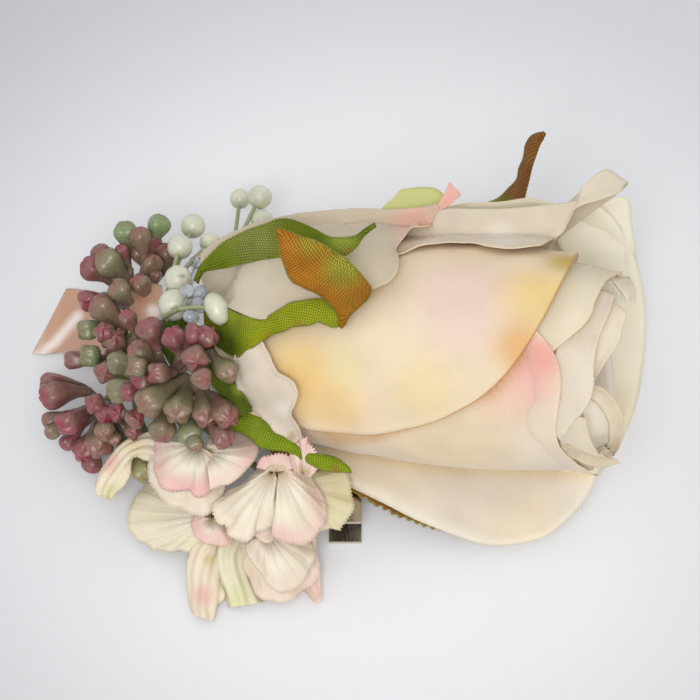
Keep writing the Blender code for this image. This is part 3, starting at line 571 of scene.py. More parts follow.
def bead_glass(name):
    """Clear, faintly blue glass."""
    n = Nodes(name)
    tone = n.smooth(n.noise(n.place(), 900, 2), 0.3, 0.7, 0.0, 1.0)
    n.link(n.mix(tone, rgb("DDEBF0"), rgb("F1ECF2")), "Base Color")
    n.set(Roughness=0.08, IOR=1.5, Transmission_Weight=0.7, Coat_Weight=0.4)
    n.bump(n.noise(n.place(), 800, 1), 0.3, 0.2)
    return n.material


def taped(name):
    """Crinkled green florist's tape."""
    n = Nodes(name)
    place = n.place()
    wrap = n.noise(place, 500, 3)
    n.link(n.mix(n.smooth(wrap, 0.3, 0.7), rgb("4F5C2B"), rgb("6F7B3F")), "Base Color")
    n.bump(wrap, 0.5, 0.2)
    n.set(Roughness=0.6)
    return n.material


def nickel(name):
    """Brushed nickel, a little smudged."""
    n = Nodes(name)
    place = n.place()
    brushed = n.noise(n.scaled(place, 3000, 200, 900), 1.0, 3)
    smudge = n.noise(place, 250, 3)
    worn = n.math("ADD", n.math("MULTIPLY", brushed, 0.5), smudge)
    n.link(n.smooth(worn, 0.4, 1.1, 0.14, 0.34), "Roughness")
    n.link(n.mix(smudge, rgb("D9D3C6"), rgb("C4BDAE")), "Base Color")
    n.bump(brushed, 0.15, 0.02)
    n.set(Metallic=1.0)
    return n.material


SILK = silk("rose_silk", "C88F40", rim_width=0.4, rim_share=0.8, rib=0.35, shade=0.11, relief=0.65)
SILK_BLUSH = silk("rose_silk_blush", "E4CBA2", rim_width=0.25, rim_share=0.35, rib=0.35, shade=0.11,
                  relief=0.65)
SILK_PALE = silk("rose_silk_pale", "E2C79A", rim_width=0.25, rim_share=0.4)
SILK_SMOOTH = silk("rose_silk_smooth", "E2C79A", rim_width=0.25, rim_share=0.4, shade=0.02, relief=0.25)
SILK_DOTTED = silk("rose_silk_dotted", "D8B27A", rim_width=0.3, rim_share=0.5, rib=0.2, shade=0.12,
                   relief=0.6)
LEAF = leaf_cloth("leaf_cloth")
BLOSSOM = blossom_silk("blossom_silk")
PLUM = bud_plastic("bud_plastic")
BERRY = berry_skin("berry_skin")
SATIN = satin("ribbon_satin")
BEAD = bead_glass("bead")
TAPE = taped("stem_tape")
NICKEL = nickel("clip_nickel")


# Petals on the bud's shell, close to the part's: the way each faces, half its width, the height of its rim,
# its layer, the floors that hold it up and its outline
ROSE_PETALS = {
    "rose_petal_1": dict(
        facing=-85, half=52, rim=75.6, layer=0, floors=(14.5, 3.0), outline=(0.45, 0.0, 0.0),
    ),
    "rose_petal_2": dict(
        facing=75, half=50, rim=70, layer=1.15, floors=(13.4, 3.0), outline=(0.47, 0.0, 0.0),
    ),
    "rose_petal_4": dict(
        facing=-158, half=31, rim=76, layer=3.5, floors=(11.2, 1.8), outline=(0.42, 0.6, 0.3),
        wrap=(1.0, 0.08),
    ),
    "rose_petal_5": dict(
        facing=172, half=36, rim=78, layer=4.8, floors=(9.8, 0.2), outline=(0.38, 0.7, 0.35),
        off=((12, 0), (25, 1.5), (40, 3.5), (55, 6.5), (68, 11), (78, 15)),
    ),
    "rose_petal_8": dict(
        facing=130, half=20, rim=42, layer=5.4, floors=(10.5, 3.0), outline=(0.42, 0.4, 0.1),
    ),
}

# Petal 2's rim in the picture, along which petal 1 gets a painted warm shadow
P2_RIM_SHADE_LINE = ((290, 392), (303, 410), (320, 427), (337, 438), (372, 436), (400, 425), (445, 409), (490, 390),
            (515, 364), (537, 332), (560, 294), (576, 262))
# Petal 1's lower rim in the picture, along which petal 4 gets painted warm shade
P1_RIM_SHADE_LINE = ((303, 436), (340, 451), (380, 458), (440, 468), (500, 470), (590, 474))

# How each of them is finished: its dye, cells, ruffle and rolled rim, lines of painted shade, and blobs of
# other dye
PETAL_LOOKS = {
    "rose_petal_1": dict(
        dye="EDDBC4", cells=(84, 52), ruffle=0.3, roll=0.4,
        shade_lines=((P2_RIM_SHADE_LINE, 13, "D9A25E", 0.65),),
        blobs=(((34.3, -15.5, 53.1), 15, "F7B9AC", 0.95), ((28.7, -19.6, 48.8), 10, "F6CDB6", 0.6),
               ((19.5, -23.9, 34.4), 22, "F0D7A8", 0.6), ((36.8, -26.1, 36.4), 10, "F3E3CC", 0.6)),
    ),
    "rose_petal_2": dict(
        dye="F3DDBD", cells=(84, 52), ruffle=0.25, roll=0.35,
        blobs=(((21.1, -2.9, 56.3), 17, "F3D3C6", 0.9), ((-9.7, -12.1, 43.3), 13, "F3CF8A", 0.95),
               ((-3.9, -18.6, 41.3), 11, "F3CC8C", 0.8), ((13.4, -19.7, 49.4), 12, "F6DCA6", 0.7),
               ((0.0, -11.6, 46.7), 7, "ECE0A6", 0.6), ((36.4, -3.0, 57.5), 12, "F0D088", 0.85),
               ((32.3, -13.5, 56.4), 8, "EDB878", 0.9), ((42.5, 6.9, 54.3), 7, "CFB04E", 0.9),
               ((7.7, -5.6, 53.2), 12, "F5E0C0", 0.6), ((24.0, 13.4, 52.1), 14, "EFD3B0", 0.6)),
    ),
    "rose_petal_4": dict(
        dye="EFE5D3", cells=(60, 56), ruffle=0.6, roll=0.8, shade_lines=((P1_RIM_SHADE_LINE, 14, "F8DCAA", 0.55),),
        blobs=(((6.1, -14.1, 11.5), 16, "F3E4C8", 0.7), ((36.0, -27.6, 6.8), 12, "F0DFBE", 0.5)),
    ),
    "rose_petal_5": dict(
        dye="F4ECD4", cells=(72, 56), ruffle=0.5, roll=0.6,
        blobs=(((54.4, -3.6, 0.6), 20, "F2E1BA", 0.6),),
    ),
    "rose_petal_8": dict(
        dye="E2D9B4", cells=(40, 36), ruffle=0.5, roll=0.4, blobs=(((-12.0, 26.0, 40.0), 16, "E9E3C0", 0.9),),
    ),
}
PETAL_THICK = 0.3

# Where along the bud a petal comes free of it on the side that wraps less
WRAP_ENDS = (5, 30)


def petal_grid(facing, half, rim, layer, floors, outline, cells, off=((0, 0), (90, 0)), wrap=(1.0, 1.0)):
    """The middle surface of one rose petal, its place across and along, and its distance to the rim."""
    square, taper, shoulder = outline
    u, v = np.meshgrid(np.linspace(-1, 1, cells[0] + 1), np.linspace(-1, 1, cells[1] + 1), indexing="ij")
    x = u * (1 - v * v / 2) ** square
    y = v * (1 - u * u / 2) ** square
    x = x * (1 - taper * ((1 - y) / 2) ** 2 + shoulder * ((1 + y) / 2) ** 2)
    start, end = shell_length(0, PETAL_ROOT_RADIUS), shell_length(1, rim)
    length = start + (end - start) * (1 + y) / 2
    radius, height, out, down = shell(length)
    heights, stand_off = zip(*off)
    distance = layer * curve((0, 10), (LAYER_AT_BASE, LAYER), height)
    distance = distance + curve(heights, stand_off, height)
    radius = radius + distance * out
    height = height + distance * down
    across = half * x * radius / np.hypot(radius, PINCH)
    closeness = 1 + (np.where(x < 0, *wrap) - 1) * step(height, *WRAP_ENDS)
    bow = across / radius * closeness
    inward = across * np.sin(bow / 2) * np.sinc(bow / (2 * math.pi))
    sideways = across * np.sinc(bow / math.pi)
    angle = math.radians(facing)
    normal = math.cos(angle) * FRONT + math.sin(angle) * UP
    side = -math.sin(angle) * FRONT + math.cos(angle) * UP
    points = np.array(BUD_FOOT) + height[..., None] * ALONG
    points = points + (radius - inward)[..., None] * normal + sideways[..., None] * side
    to_rim = np.minimum((1 - np.abs(u)) * half, (1 - v) * (end - start) / 2)
    return lifted(points, *floors), np.stack([across, length], -1), to_rim


def outward(points):
    """The way out of the bud at each point."""
    away = points - np.array(BUD_FOOT)
    return unit(away - (away @ ALONG)[..., None] * ALONG)


def striped(colour, points, line, width, tint, strength):
    """A colour shaded along a line of the picture, for painted shade and painted highlights."""
    x, y = seen_at(points)
    line = np.array(line, float)
    nearest = np.full(x.shape, 1e9)
    for (ax, ay), (bx, by) in zip(line[:-1], line[1:]):
        squared = (bx - ax) ** 2 + (by - ay) ** 2
        along = np.clip(((x - ax) * (bx - ax) + (y - ay) * (by - ay)) / squared, 0, 1)
        nearest = np.minimum(nearest, np.hypot(x - ax - along * (bx - ax), y - ay - along * (by - ay)))
    share = strength * (1 - step(nearest, 0, width))[..., None]
    return colour * (1 - share) + rgb(tint) * share


def rose_petal(name):
    """A petal that wraps the bud's shell, with its ruffle, its rolled rim and its dye."""
    look = PETAL_LOOKS[name]
    points, cloth, to_rim = petal_grid(**ROSE_PETALS[name], cells=look["cells"])
    normals = grid_normals(points)
    normals = normals * np.sign(np.sum(normals * outward(points), -1, keepdims=True))
    seed = sum(map(ord, name))
    near = 1 - step(to_rim, 0, 9)
    ripple = look["ruffle"] * near * waves(points, seed, 14) + 0.12 * waves(points, seed + 1, 9)
    lift = ripple + look["roll"] * (1 - step(to_rim, 0, 2.2)) ** 2
    points = points + normals * lift[..., None]
    points[..., 2] = np.maximum(points[..., 2], TABLE_CLEAR)
    colour = painted(points, look["dye"], look["blobs"])
    colour = colour * (1 + 0.02 * waves(points, seed + 2, 12))[..., None]
    # Painted shade along a neighbouring petal's rim
    for line, width, tint, strength in look.get("shade_lines", ()):
        colour = striped(colour, points, line, width, tint, strength)
    return plate(points, PETAL_THICK, cloth, to_rim, colour)


# Behind a sheet's last edge: how far it turns away and down, and the grid's rows from one line to the next
BACK_TURN, BACK_DROP = 4, 0.8
BACK_ROWS = 8


def woven(grid, place, dye, blobs=(), fan=False, thick=PETAL_THICK, ruffle=0.2, wave=9.0, teeth=0.0,
          pleats=0.0, folds=0.0, roll=0.0, seed=1, behind=()):
    """A cloth sheet on a grid of picture points, with edges behind it to pass round. Teeth cut its rim."""
    grid = np.array(grid)
    if teeth:
        out = unit(grid[:, -1, :2] - grid[:, -2, :2])
        cut = teeth * np.where(np.arange(len(grid)) % 2, 1.0, -1.0)[:, None]
        grid[:, -1, :2] += out * cut
        if not fan:
            grid[:, 0, :2] += unit(grid[:, 0, :2] - grid[:, 1, :2]) * cut
    points = place(*np.moveaxis(grid, -1, 0))
    colour = painted(grid[..., :2], dye, blobs)
    if behind:
        turn = points[:, -1] - BACK_TURN * TOWARD - BACK_DROP * PICTURE_UP
        lines = np.stack([turn, *(route(line, len(points)) for line in behind)], 1)
        seen = points.shape[1]
        more = BACK_ROWS * lines.shape[1]
        knots = np.r_[np.arange(seen), seen - 1 + BACK_ROWS * np.arange(1, lines.shape[1] + 1)]
        rows = np.concatenate([points, lines], 1)
        points = np.stack([curve(knots, row, np.arange(seen + more)) for row in rows])
        colour = np.concatenate([colour, np.repeat(colour[:, -1:], more, axis=1)], 1)
    normals = grid_normals(points)
    normals = normals * np.sign(np.sum(normals * TOWARD, -1, keepdims=True) + 1e-6)
    across, along = chords(points, 1), chords(points, 0)
    to_rim = across[:, -1:] - across
    if not fan:
        to_rim = np.minimum(to_rim, across)
    near = 1 - step(to_rim, 0, 7)
    lift = ruffle * near * waves(points, seed, wave) + 0.08 * waves(points, seed + 1, 5)
    lift = lift + roll * (1 - step(to_rim, 0, 2.0)) ** 2
    if pleats:
        spread = 2 * math.pi * along[:, -1:]
        wavy = np.sin(spread / 5.2 + seed) + 0.35 * np.sin(spread / 2.1 + 2 * seed)
        lift = lift + pleats * wavy * np.sqrt(across / np.maximum(across[:, -1:], 1e-6))
    if folds:
        lift = lift + folds * np.sin(2 * math.pi * across / 2.4 + along / 5 + seed)
    points = points + normals * lift[..., None]
    points[..., 2] = np.maximum(points[..., 2], TABLE_CLEAR)
    colour = colour * (1 + 0.025 * waves(points, seed + 2, 8))[..., None]
    cloth = grid[..., :2] / PIXELS_PER_MM if fan else np.stack([across, along], -1)
    return plate(points, thick, cloth, to_rim, colour)


def round_back(degrees, low, high, layer):
    """A line along the bud at an angle on it, from one height to another."""
    heights = np.linspace(low, high, 8)
    return np.array([round_bud(h, degrees, shell(shell_length(1, h))[0] + layer) for h in heights])


# The right rim of petal 1 and the upper corner of petal 5, as the picture shows them
left = edge((505, 345), (500, 380), (505, 420), (525, 455), (545, 469), third=(-1.2, -1.2))
right = edge((536, 330), (546, 341), (553, 351), (558, 362), (561, 380), (560, 400), (557, 420), (558, 440),
             (563, 450), (572, 458), (583, 466), (598, 475), third=(1.15, 1.2))
blush = (((530, 370), 52, "F5B9AA", 0.9), ((545, 355), 28, "F4A99A", 0.7))
right_rim = woven(between(left, right, 60, 14), on_shell, "F1DFC6", blush, ruffle=0.05, roll=0.3, seed=21)
left = edge((550, 224), (556, 240), (566, 262), (590, 300), third=(-15.0, -21.0, -28.0))
right = edge((616, 197), (626, 198), (632, 225), (637, 260), (642, 300), third=(-16.0, -22.0, -30.0))
corner = woven(between(left, right, 40, 16, 0.8), at_near, PETAL_LOOKS["rose_petal_5"]["dye"], seed=25)
for name, more, finish, slot in (
    ("rose_petal_1", [right_rim], SILK_BLUSH, "blush_silk"),
    ("rose_petal_2", [], SILK, "gold_silk"),
    ("rose_petal_4", [], SILK_PALE, "cream_silk"),
    ("rose_petal_5", [corner], SILK_SMOOTH, "cream_silk"),
):
    made(name.replace("rose", "silk"), [rose_petal(name), *more], finish, name)

front = edge((300, 276), (340, 272), (380, 262), (425, 246.5), (450, 245), (470, 245.5), (490, 248),
             (510, 249.5), (530, 248), (545, 244), (556, 238), (563, 232), (569, 220), (574, 210), (583, 205),
             (597, 201), (611, 196), (622, 191), third=(2.0, 2.2, 2.6, 3.6, 6.0))
top = edge((300, 262), (340, 256), (380, 244), (408, 228), (430, 214), (447, 210.5), (470, 211), (500, 211),
           (530, 209), (560, 205), (576, 201), (582, 189), (590, 181), (603, 173), (615, 179), (624, 185),
           third=(2.2, 3.0, 8.0))
# Petal 3's dye; the lighter blob on its rolled lip is a painted highlight where the lip faces the light
petal = woven(between(front, top, 100, 22), on_shell, "DDCFB9",
              (((500, 236), 24, "E9DFCD", 0.7), ((600, 186), 34, "DAD0BA", 0.8),
               ((400, 235), 40, "E2CBAE", 0.5)),
              ruffle=0.2, roll=0.4, seed=3,
              behind=(round_back(118, 16, 62, 5.0), round_back(150, 18, 56, 3.4)))
made("silk_petal_3", [petal], SILK_PALE, "rose_petal_3")

front = edge((200, 268), (206, 288), (222, 303), (240, 313), (262, 320), (290, 310), (330, 300), (370, 290),
             (388, 283), (398, 271), (396, 258), (395, 252), (398, 246), (405, 238), (412, 232), (420, 230),
             (430, 227), (434, 218), (440, 207), third=(5.0, 5.6, 5.6, 4.4, 4.4, 4.6))
top = edge((200, 258), (215, 245), (235, 235), (260, 226), (290, 219), (330, 214), (360, 212), (400, 211),
           (420, 209), (438, 205), third=(5.0, 6.0, 4.6))
petal = woven(between(front, top, 90, 26), on_shell, "D3C4AA",
              (((415, 222), 36, "EAB9A6", 0.9), ((240, 290), 50, "D8CEBB", 0.8)),
              ruffle=0.35, roll=0.3, seed=6,
              behind=(round_back(125, 0, 42, 6.0), round_back(150, 2, 38, 6.0)))
curl = woven(fanned((442, 209, 5.0), edge((434, 218), (438, 205), (442, 197), (446, 190), (450, 182),
                                          (454, 187), (458, 190), (461, 195), (457, 199), (450, 205),
                                          (441, 210), third=(5.0, 7.5, 5.0)), 30, 10, 0.6),
             on_shell, "EBB3A4", (), fan=True, ruffle=0.1, seed=7)
made("silk_petal_6", [petal, curl], SILK_PALE, "rose_petal_6")

left = edge((238, 350), (233, 360), (234, 371), (237, 385), (243, 395), (252, 408), (260, 413), (268, 420),
            (275, 427), (283, 432), (297, 440), third=(3.2, 3.4, 3.0))
right = edge((258, 340), (264, 342), (266, 348), (270, 355), (274, 365), (278, 371), (285, 375), (295, 383),
             (298, 392), (296, 403), (292, 413), (294, 420), (301, 430), (303, 437), third=(3.6, 4.4, 3.4))
# Petal 7's dye; the small dark gold blob at its lower tip is painted shade where it meets petals 1 and 2
petal = woven(between(left, right, 56, 22), on_shell, "DFD0BC",
              (((285, 408), 14, "EFE6D6", 0.8), ((240, 365), 24, "D9CDBE", 0.6),
               ((292, 436), 7, "A9793F", 0.6)),
              ruffle=0.3, wave=5.0, roll=0.4, seed=9)
made("silk_petal_7", [petal], SILK_PALE, "rose_petal_7")

tongue = woven(fanned((400, 222, -2.0), edge((378, 212), (388, 202), (395, 196), (400, 190), (410, 188),
                                             (425, 187), (437, 189), (444, 195), (446, 208),
                                             third=(-2.0, -4.0, -2.0)), 36, 10),
               at_near, "C9CE86", (), fan=True, ruffle=0.2, seed=8)
made("silk_petal_8", [rose_petal("rose_petal_8"), tongue], SILK_PALE, "rose_petal_8")

# The heart: a filled core, its inner rolls, and the petal ends seen in the bud's mouth
HEART_INSET = 1.45
HEART_TOP, HEART_FOOT = 60.0, 48.0
HEART_ROWS = 22
HEART_FLOORS = (15.7, 4.0)
HEART_ROLLS = (
    ((60, 1.7, 74), (100, 1.7, 77), (150, 1.9, 77), (205, 2.3, 72), (250, 2.4, 70)),
    ((140, 3.6, 68), (200, 3.6, 72), (270, 3.6, 70), (330, 4.0, 68)),
    ((190, 6.0, 70), (290, 7.0, 71), (400, 8.5, 71), (520, 11.0, 71), (640, 13.5, 70)),
)
HEART_CURLS = (1.3, 0.9, 0.5)


def heart_core():
    """The filled bud inside the rolls."""
    lengths = np.linspace(shell_length(0, PETAL_ROOT_RADIUS), shell_length(1, HEART_TOP), 24)
    radius, height, out, down = shell(lengths)
    radius = np.concatenate([radius - HEART_INSET * out, [0.55 * radius[-1]]])
    height = np.concatenate([height - HEART_INSET * down, [HEART_TOP + 1.5]])
    points, *rest = rounds([in_bud(h, 0, 0) for h in height], radius, 48, rgb("EBD7AE"))
    return lifted(points, *HEART_FLOORS), *rest


def heart_roll(turns, seed, curl):
    """A petal rolled inside the bud. Turns are angles, each with an inset from the shell and a rim height."""
    angles, insets, rims = zip(*turns)
    columns = round((angles[-1] - angles[0]) / 3)
    at = np.linspace(angles[0], angles[-1], columns + 1)
    inset, rim = curve(angles, insets, at), curve(angles, rims, at)
    share = np.linspace(0, 1, HEART_ROWS + 1)
    points = np.empty((columns + 1, len(share), 3))
    for i in range(columns + 1):
        top = rim[i] + 0.5 * math.sin(at[i] / 9 + seed) + 0.35 * math.sin(at[i] / 2.3 + 2 * seed)
        for j, s in enumerate(share):
            height = HEART_FOOT + (top - HEART_FOOT) * s
            radius = shell(shell_length(1, height))[0] - inset[i]
            bend = max(0.0, (s - 0.8) / 0.2)
            points[i, j] = round_bud(height - 0.8 * curl * bend ** 3, at[i], radius + curl * bend * bend)
    ripple = 0.25 * (waves(points, seed, 8) * np.linspace(0.2, 1, len(share)))
    points = points + ripple[..., None] * outward(points)
    tall = rim[:, None] - HEART_FOOT
    cloth = np.stack([at[:, None] * 0.3 + 0 * tall * share, share * tall], -1)
    to_rim = (1 - share) * tall
    colour = painted(points, "F1E6D2")
    # Yellower away from the rim, down in the bud: painted warm shade
    inner = step(to_rim, 1.5, 9)[..., None] * 0.6
    colour = colour * (1 - inner) + rgb("EFD9AC") * inner
    return plate(points, PETAL_THICK, cloth, to_rim, colour)


# The ends: an outer edge and an inner edge, each with its layers, the dye and how much the rim ruffles
HEART_ENDS = (
    (((556, 257), (546, 280), (530, 306), (518, 330), (531, 344)), (-0.2, -0.2),
     ((622, 274), (608, 280), (602, 288), (598, 297), (595, 303), (593, 312), (590, 318), (583, 327),
      (571, 337), (552, 353)), (-0.6, -0.2), "EFE1C6", 0.06),
    (((606, 284), (612, 284), (618, 290), (624, 298), (627, 306)), (-1.9, -2.2),
     ((613, 275), (622, 274), (630, 279), (635, 290), (636, 303)), (-1.0, -1.4), "F0E5D0", 0.1),
    (((588, 285), (575, 320), (558, 345), (552, 368), (552, 400), (555, 430), (560, 441)),
     (-2.0, -2.0, -0.4, 0.45, 0.5),
     ((615, 295), (611, 310), (605, 325), (600, 337), (596, 352), (594, 370), (594, 385), (591, 398),
      (586, 408), (575, 420), (567, 431), (560, 443)), (-2.2, -2.0, -0.5, 0.3, 0.5), "E9DBC6", 0.08),
    (((598, 300), (596, 330), (590, 352), (586, 372), (588, 384)), (-3.4, -3.2),
     ((614, 302), (626, 317), (622, 330), (620, 340), (615, 350), (607, 360), (602, 368), (596, 377)),
     (-3.6, -3.4), "F2E5CF", 0.15),
    (((586, 394), (594, 399), (601, 406), (607, 415), (610, 426), (610, 437), (606, 447), (599, 452)),
     (-4.2, -4.2),
     ((592, 384), (600, 386), (608, 391), (615, 399), (620, 408), (624, 418), (624, 430), (622, 442),
      (617, 452), (609, 459)), (-2.6, -2.6), "F4E6CC", 0.08),
    (((584, 398), (582, 412), (584, 428), (590, 440), (598, 452)), (-3.6, -3.6),
     ((592, 392), (601, 403), (608, 416), (610, 430), (607, 444), (600, 454)), (-4.6, -4.6), "F5EBD8", 0.08),
    (((576, 416), (570, 426), (560, 440), (562, 450)), (0.3, 0.3),
     ((586, 418), (590, 436), (596, 448), (601, 457)), (0.3, 0.3), "E8DAC2", 0.05),
    (((558, 440), (578, 448), (598, 455), (614, 458)), (0.4, -0.2),
     ((562, 453), (580, 461), (600, 465), (620, 461)), (0.5, 0.0), "E6D6B8", 0.1),
)


heart = [heart_core()]
heart += [heart_roll(turns, 11 + k, HEART_CURLS[k]) for k, turns in enumerate(HEART_ROLLS)]
for k, (*lines, dye, ruffle) in enumerate(HEART_ENDS):
    grid = spanned(*lines, 48, 16)
    heart.append(woven(grid, on_shell, dye, ruffle=ruffle, wave=5.0, roll=0.35, seed=30 + k))
made("silk_heart", heart, SILK_DOTTED, "rose_heart")

# Hidden sepal and backing leaves, as in the part: a path, the direction across it and half the width there
LEAVES = {
    "sepal_5": dict(
        path=[in_bud(*point) for point in ((-10.0, -8.6, -0.7), (-4, -15.0, -1.2), (3, -23.0, -1.8),
                                           (7, -26.0, -3.4), (11, -27.0, -4.2))],
        across=[UP - 0.08 * FRONT] * 5,
        half=(2.2, 3.6, 4.6, 3.6, 0.7),
    ),
    "leaf_1": dict(
        path=((-37.2, 3.0, 19.4), (-27, -2.0, 12.0), (-15, -8, 9.5), (-2, -14.0, 9.7), (12, -20.3, 7.4),
              (22, -23.5, 4.5), (30, -25.5, 1.8)),
        across=((0.3, 0.8, 0.3), (0.4, 0.9, 0.1), (0.45, 0.9, 0), (0.45, 0.9, 0), (0.45, 0.9, 0.1),
                (0.4, 0.9, 0.2), (0.4, 0.9, 0.2)),
        half=(0.8, 2.0, 3.6, 4.4, 4.8, 3.4, 0.7),
    ),
    "leaf_2": dict(
        path=((-40.2, 12.6, 17.0), (-31, 16.5, 9.5), (-16, 22.5, 6.6), (2, 27, 7.0), (18, 30, 9.4),
              (28, 34.5, 15)),
        across=((0.5, -0.6, 0.5), (0.4, -0.8, 0.3), (0.3, -0.9, 0.1), (0.1, -1, 0), (0.2, -1, 0),
                (0.6, -0.8, 0.1)),
        half=(0.8, 2.2, 4.6, 5.4, 4.4, 2.0),
    ),
}
LEAF_THICK, LEAF_CLEAR = 0.35, 0.3
LEAF_LOOKS = {
    "sepal_5": ("4C641C", ()),
    "leaf_1": ("8A5E28", (((25, -26.8, 3.8), 14, "A8672A", 0.9), ((-27, -2, 12), 12, "4C641C", 0.9))),
    "leaf_2": ("7A8C2E", (((38.6, 45.4, 42.6), 12, "6E4A26", 0.95), ((34, 40, 26), 9, "8A7A36", 0.7))),
}


def strip(path, across, half, rows):
    """Even places along a strip: lengths, middle, half widths, and the ways along, across and out of it."""
    table = np.column_stack([path, across, half])
    lengths = chords(table[:, :3])
    at = np.linspace(0, lengths[-1], rows + 1)
    table = curve(lengths, table, at)
    tangents = unit(np.gradient(table[:, :3], axis=0))
    side = unit(table[:, 3:6] - np.sum(table[:, 3:6] * tangents, 1, keepdims=True) * tangents)
    return at, table[:, :3], table[:, 6], tangents, side, np.cross(tangents, side)


def leaf(name, path, across, half, camber=0.08):
    """A serrated cloth leaf with a creased midrib."""
    rows, columns = 90, 14
    at, middle, width, _, side, normals = strip(path, across, half, rows)
    width = np.maximum(width, 0.5)
    u = np.linspace(-1, 1, columns + 1)
    seed = sum(map(ord, name))
    rng = np.random.default_rng(seed)
    teeth = 0.07 * np.where(np.arange(rows + 1) % 2 == 1, 1.0, -1.0) + 0.05 * rng.normal(size=rows + 1)
    outer = np.clip((np.abs(u) - 0.75) / 0.25, 0, 1) ** 2
    reach = width[:, None] * u * (1 + np.clip(teeth, -0.14, 0.1)[:, None] * outer)
    arch = camber * width[:, None] * (1 - u * u)
    crease = -0.22 * np.exp(-(u / 0.12) ** 2)
    points = middle[:, None] + reach[..., None] * side[:, None]
    points = points + (arch + crease)[..., None] * normals[:, None]
    points = points + (0.16 * waves(points, seed, 7))[..., None] * normals[:, None]
    points[..., 2] = np.maximum(points[..., 2], LEAF_CLEAR)
    cloth = np.stack([reach, np.broadcast_to(at[:, None], reach.shape)], -1)
    to_rim = width[:, None] * (1 - np.abs(u))
    dye, blobs = LEAF_LOOKS[name]
    colour = painted(points, dye, blobs) * (1 + 0.08 * waves(points, seed + 3, 6))[..., None]
    vein = np.exp(-(u / 0.1) ** 2)[None, :, None] * 0.3
    colour = colour * (1 - vein) + rgb("9AA84C") * vein
    return plate(points, LEAF_THICK, cloth, to_rim, colour)


# The sepals and leaves that the picture shows: two edges with how near they are, the dye and its blobs
CLOTH_STRIPS = {
    "sepal_1": [(
        ((194, 280), (200, 266), (210, 255), (220, 245), (235, 236), (250, 229), (265, 224), (278, 219),
         (290, 219), (300, 222), (315, 229), (328, 236), (340, 238), (357, 235), (365, 229), (375, 223)),
        (-3, 5, 10, 16, 18),
        ((198, 284), (204, 272), (215, 269), (230, 267), (245, 263), (262, 260), (280, 257), (300, 256),
         (320, 256), (338, 256), (346, 255), (352, 250), (358, 244), (364, 236), (376, 226)),
        (-2, 6, 12, 17, 18),
        "6B7818", (((255, 240), 38, "7C7F42", 0.8), ((340, 246), 26, "8C9A38", 0.8),
                   ((350, 252), 9, "9A6A38", 0.6)),
    )],
    "sepal_2": [(
        ((203, 292), (215, 300), (228, 308), (240, 314), (250, 316), (262, 320), (272, 314), (280, 309),
         (290, 303), (300, 301), (312, 299), (322, 299), (332, 306), (340, 318)), (1, 13, 18.5, 20.5, 23),
        ((206, 338), (222, 350), (240, 357), (250, 350), (262, 341), (275, 334), (285, 331), (290, 328),
         (300, 326), (310, 325), (318, 322), (326, 325), (334, 328), (343, 326)), (0, 12, 17.5, 20, 23),
        "8C9418", (((225, 345), 34, "4B5A12", 0.95), ((240, 325), 22, "7F8C28", 0.6),
                   ((300, 327), 9, "A56A2C", 0.6), ((270, 337), 7, "A56A2C", 0.5)),
    ), (
        ((276, 230), (279, 245), (281, 257), (284, 266), (288, 277), (293, 283), (300, 286), (306, 289),
         (312, 291), (322, 297), (330, 304), (336, 311), (339, 325)), (25.2, 25.2, 25, 24, 23.5),
        ((279, 229), (285, 231), (292, 233), (303, 237), (312, 239), (322, 244), (330, 249), (338, 254),
         (346, 258), (352, 264), (358, 270), (363, 276), (368, 282), (372, 289), (370, 296), (360, 306),
         (350, 316), (344, 326), (341, 328)), (25.4, 25.6, 25.4, 24.5, 23.5),
        "9C6616", (((345, 266), 34, "8E9130", 0.85), ((310, 242), 22, "8E8B2C", 0.7),
                   ((352, 300), 20, "93681C", 0.7), ((290, 250), 14, "A8702A", 0.6)),
    )],
    "sepal_3": [(
        ((204, 384), (214, 394), (226, 404), (240, 413), (250, 411), (258, 410), (268, 420), (275, 427),
         (283, 432), (300, 445), (317, 454), (330, 456), (338, 459), (345, 464), (351, 471)),
        (1, 4, 5.5, 7.5, 7.5),
        ((202, 400), (214, 414), (226, 424), (237, 431), (245, 434), (252, 439), (258, 446), (268, 449),
         (285, 452), (300, 459), (320, 469), (335, 472), (346, 472), (352, 472)), (0, 3, 5, 7, 7),
        "7C9018", (((215, 400), 26, "42540F", 0.9), ((262, 428), 20, "8B9F2E", 0.8),
                   ((335, 470), 10, "8A6A2C", 0.6)),
    )],
    "sepal_4": [(
        ((206, 360), (216, 366), (232, 380), (238, 387), (244, 395), (252, 408)), (3, 8, 14),
        ((203, 374), (212, 384), (221, 395), (230, 406), (240, 414), (252, 411)), (3, 7, 13),
        "55661A", (((240, 388), 12, "A0A83C", 0.8), ((212, 385), 14, "6F7426", 0.7)),
    )],
}
for name, strips in CLOTH_STRIPS.items():
    parts = [woven(spanned(*lines, 110, 16, 0.9), at_near, dye, blobs, thick=LEAF_THICK, ruffle=0.1, wave=8.0,
                   teeth=0.55, seed=sum(map(ord, name)) + k)
             for k, (*lines, dye, blobs) in enumerate(strips)]
    made("cloth_" + name, parts, LEAF, name)

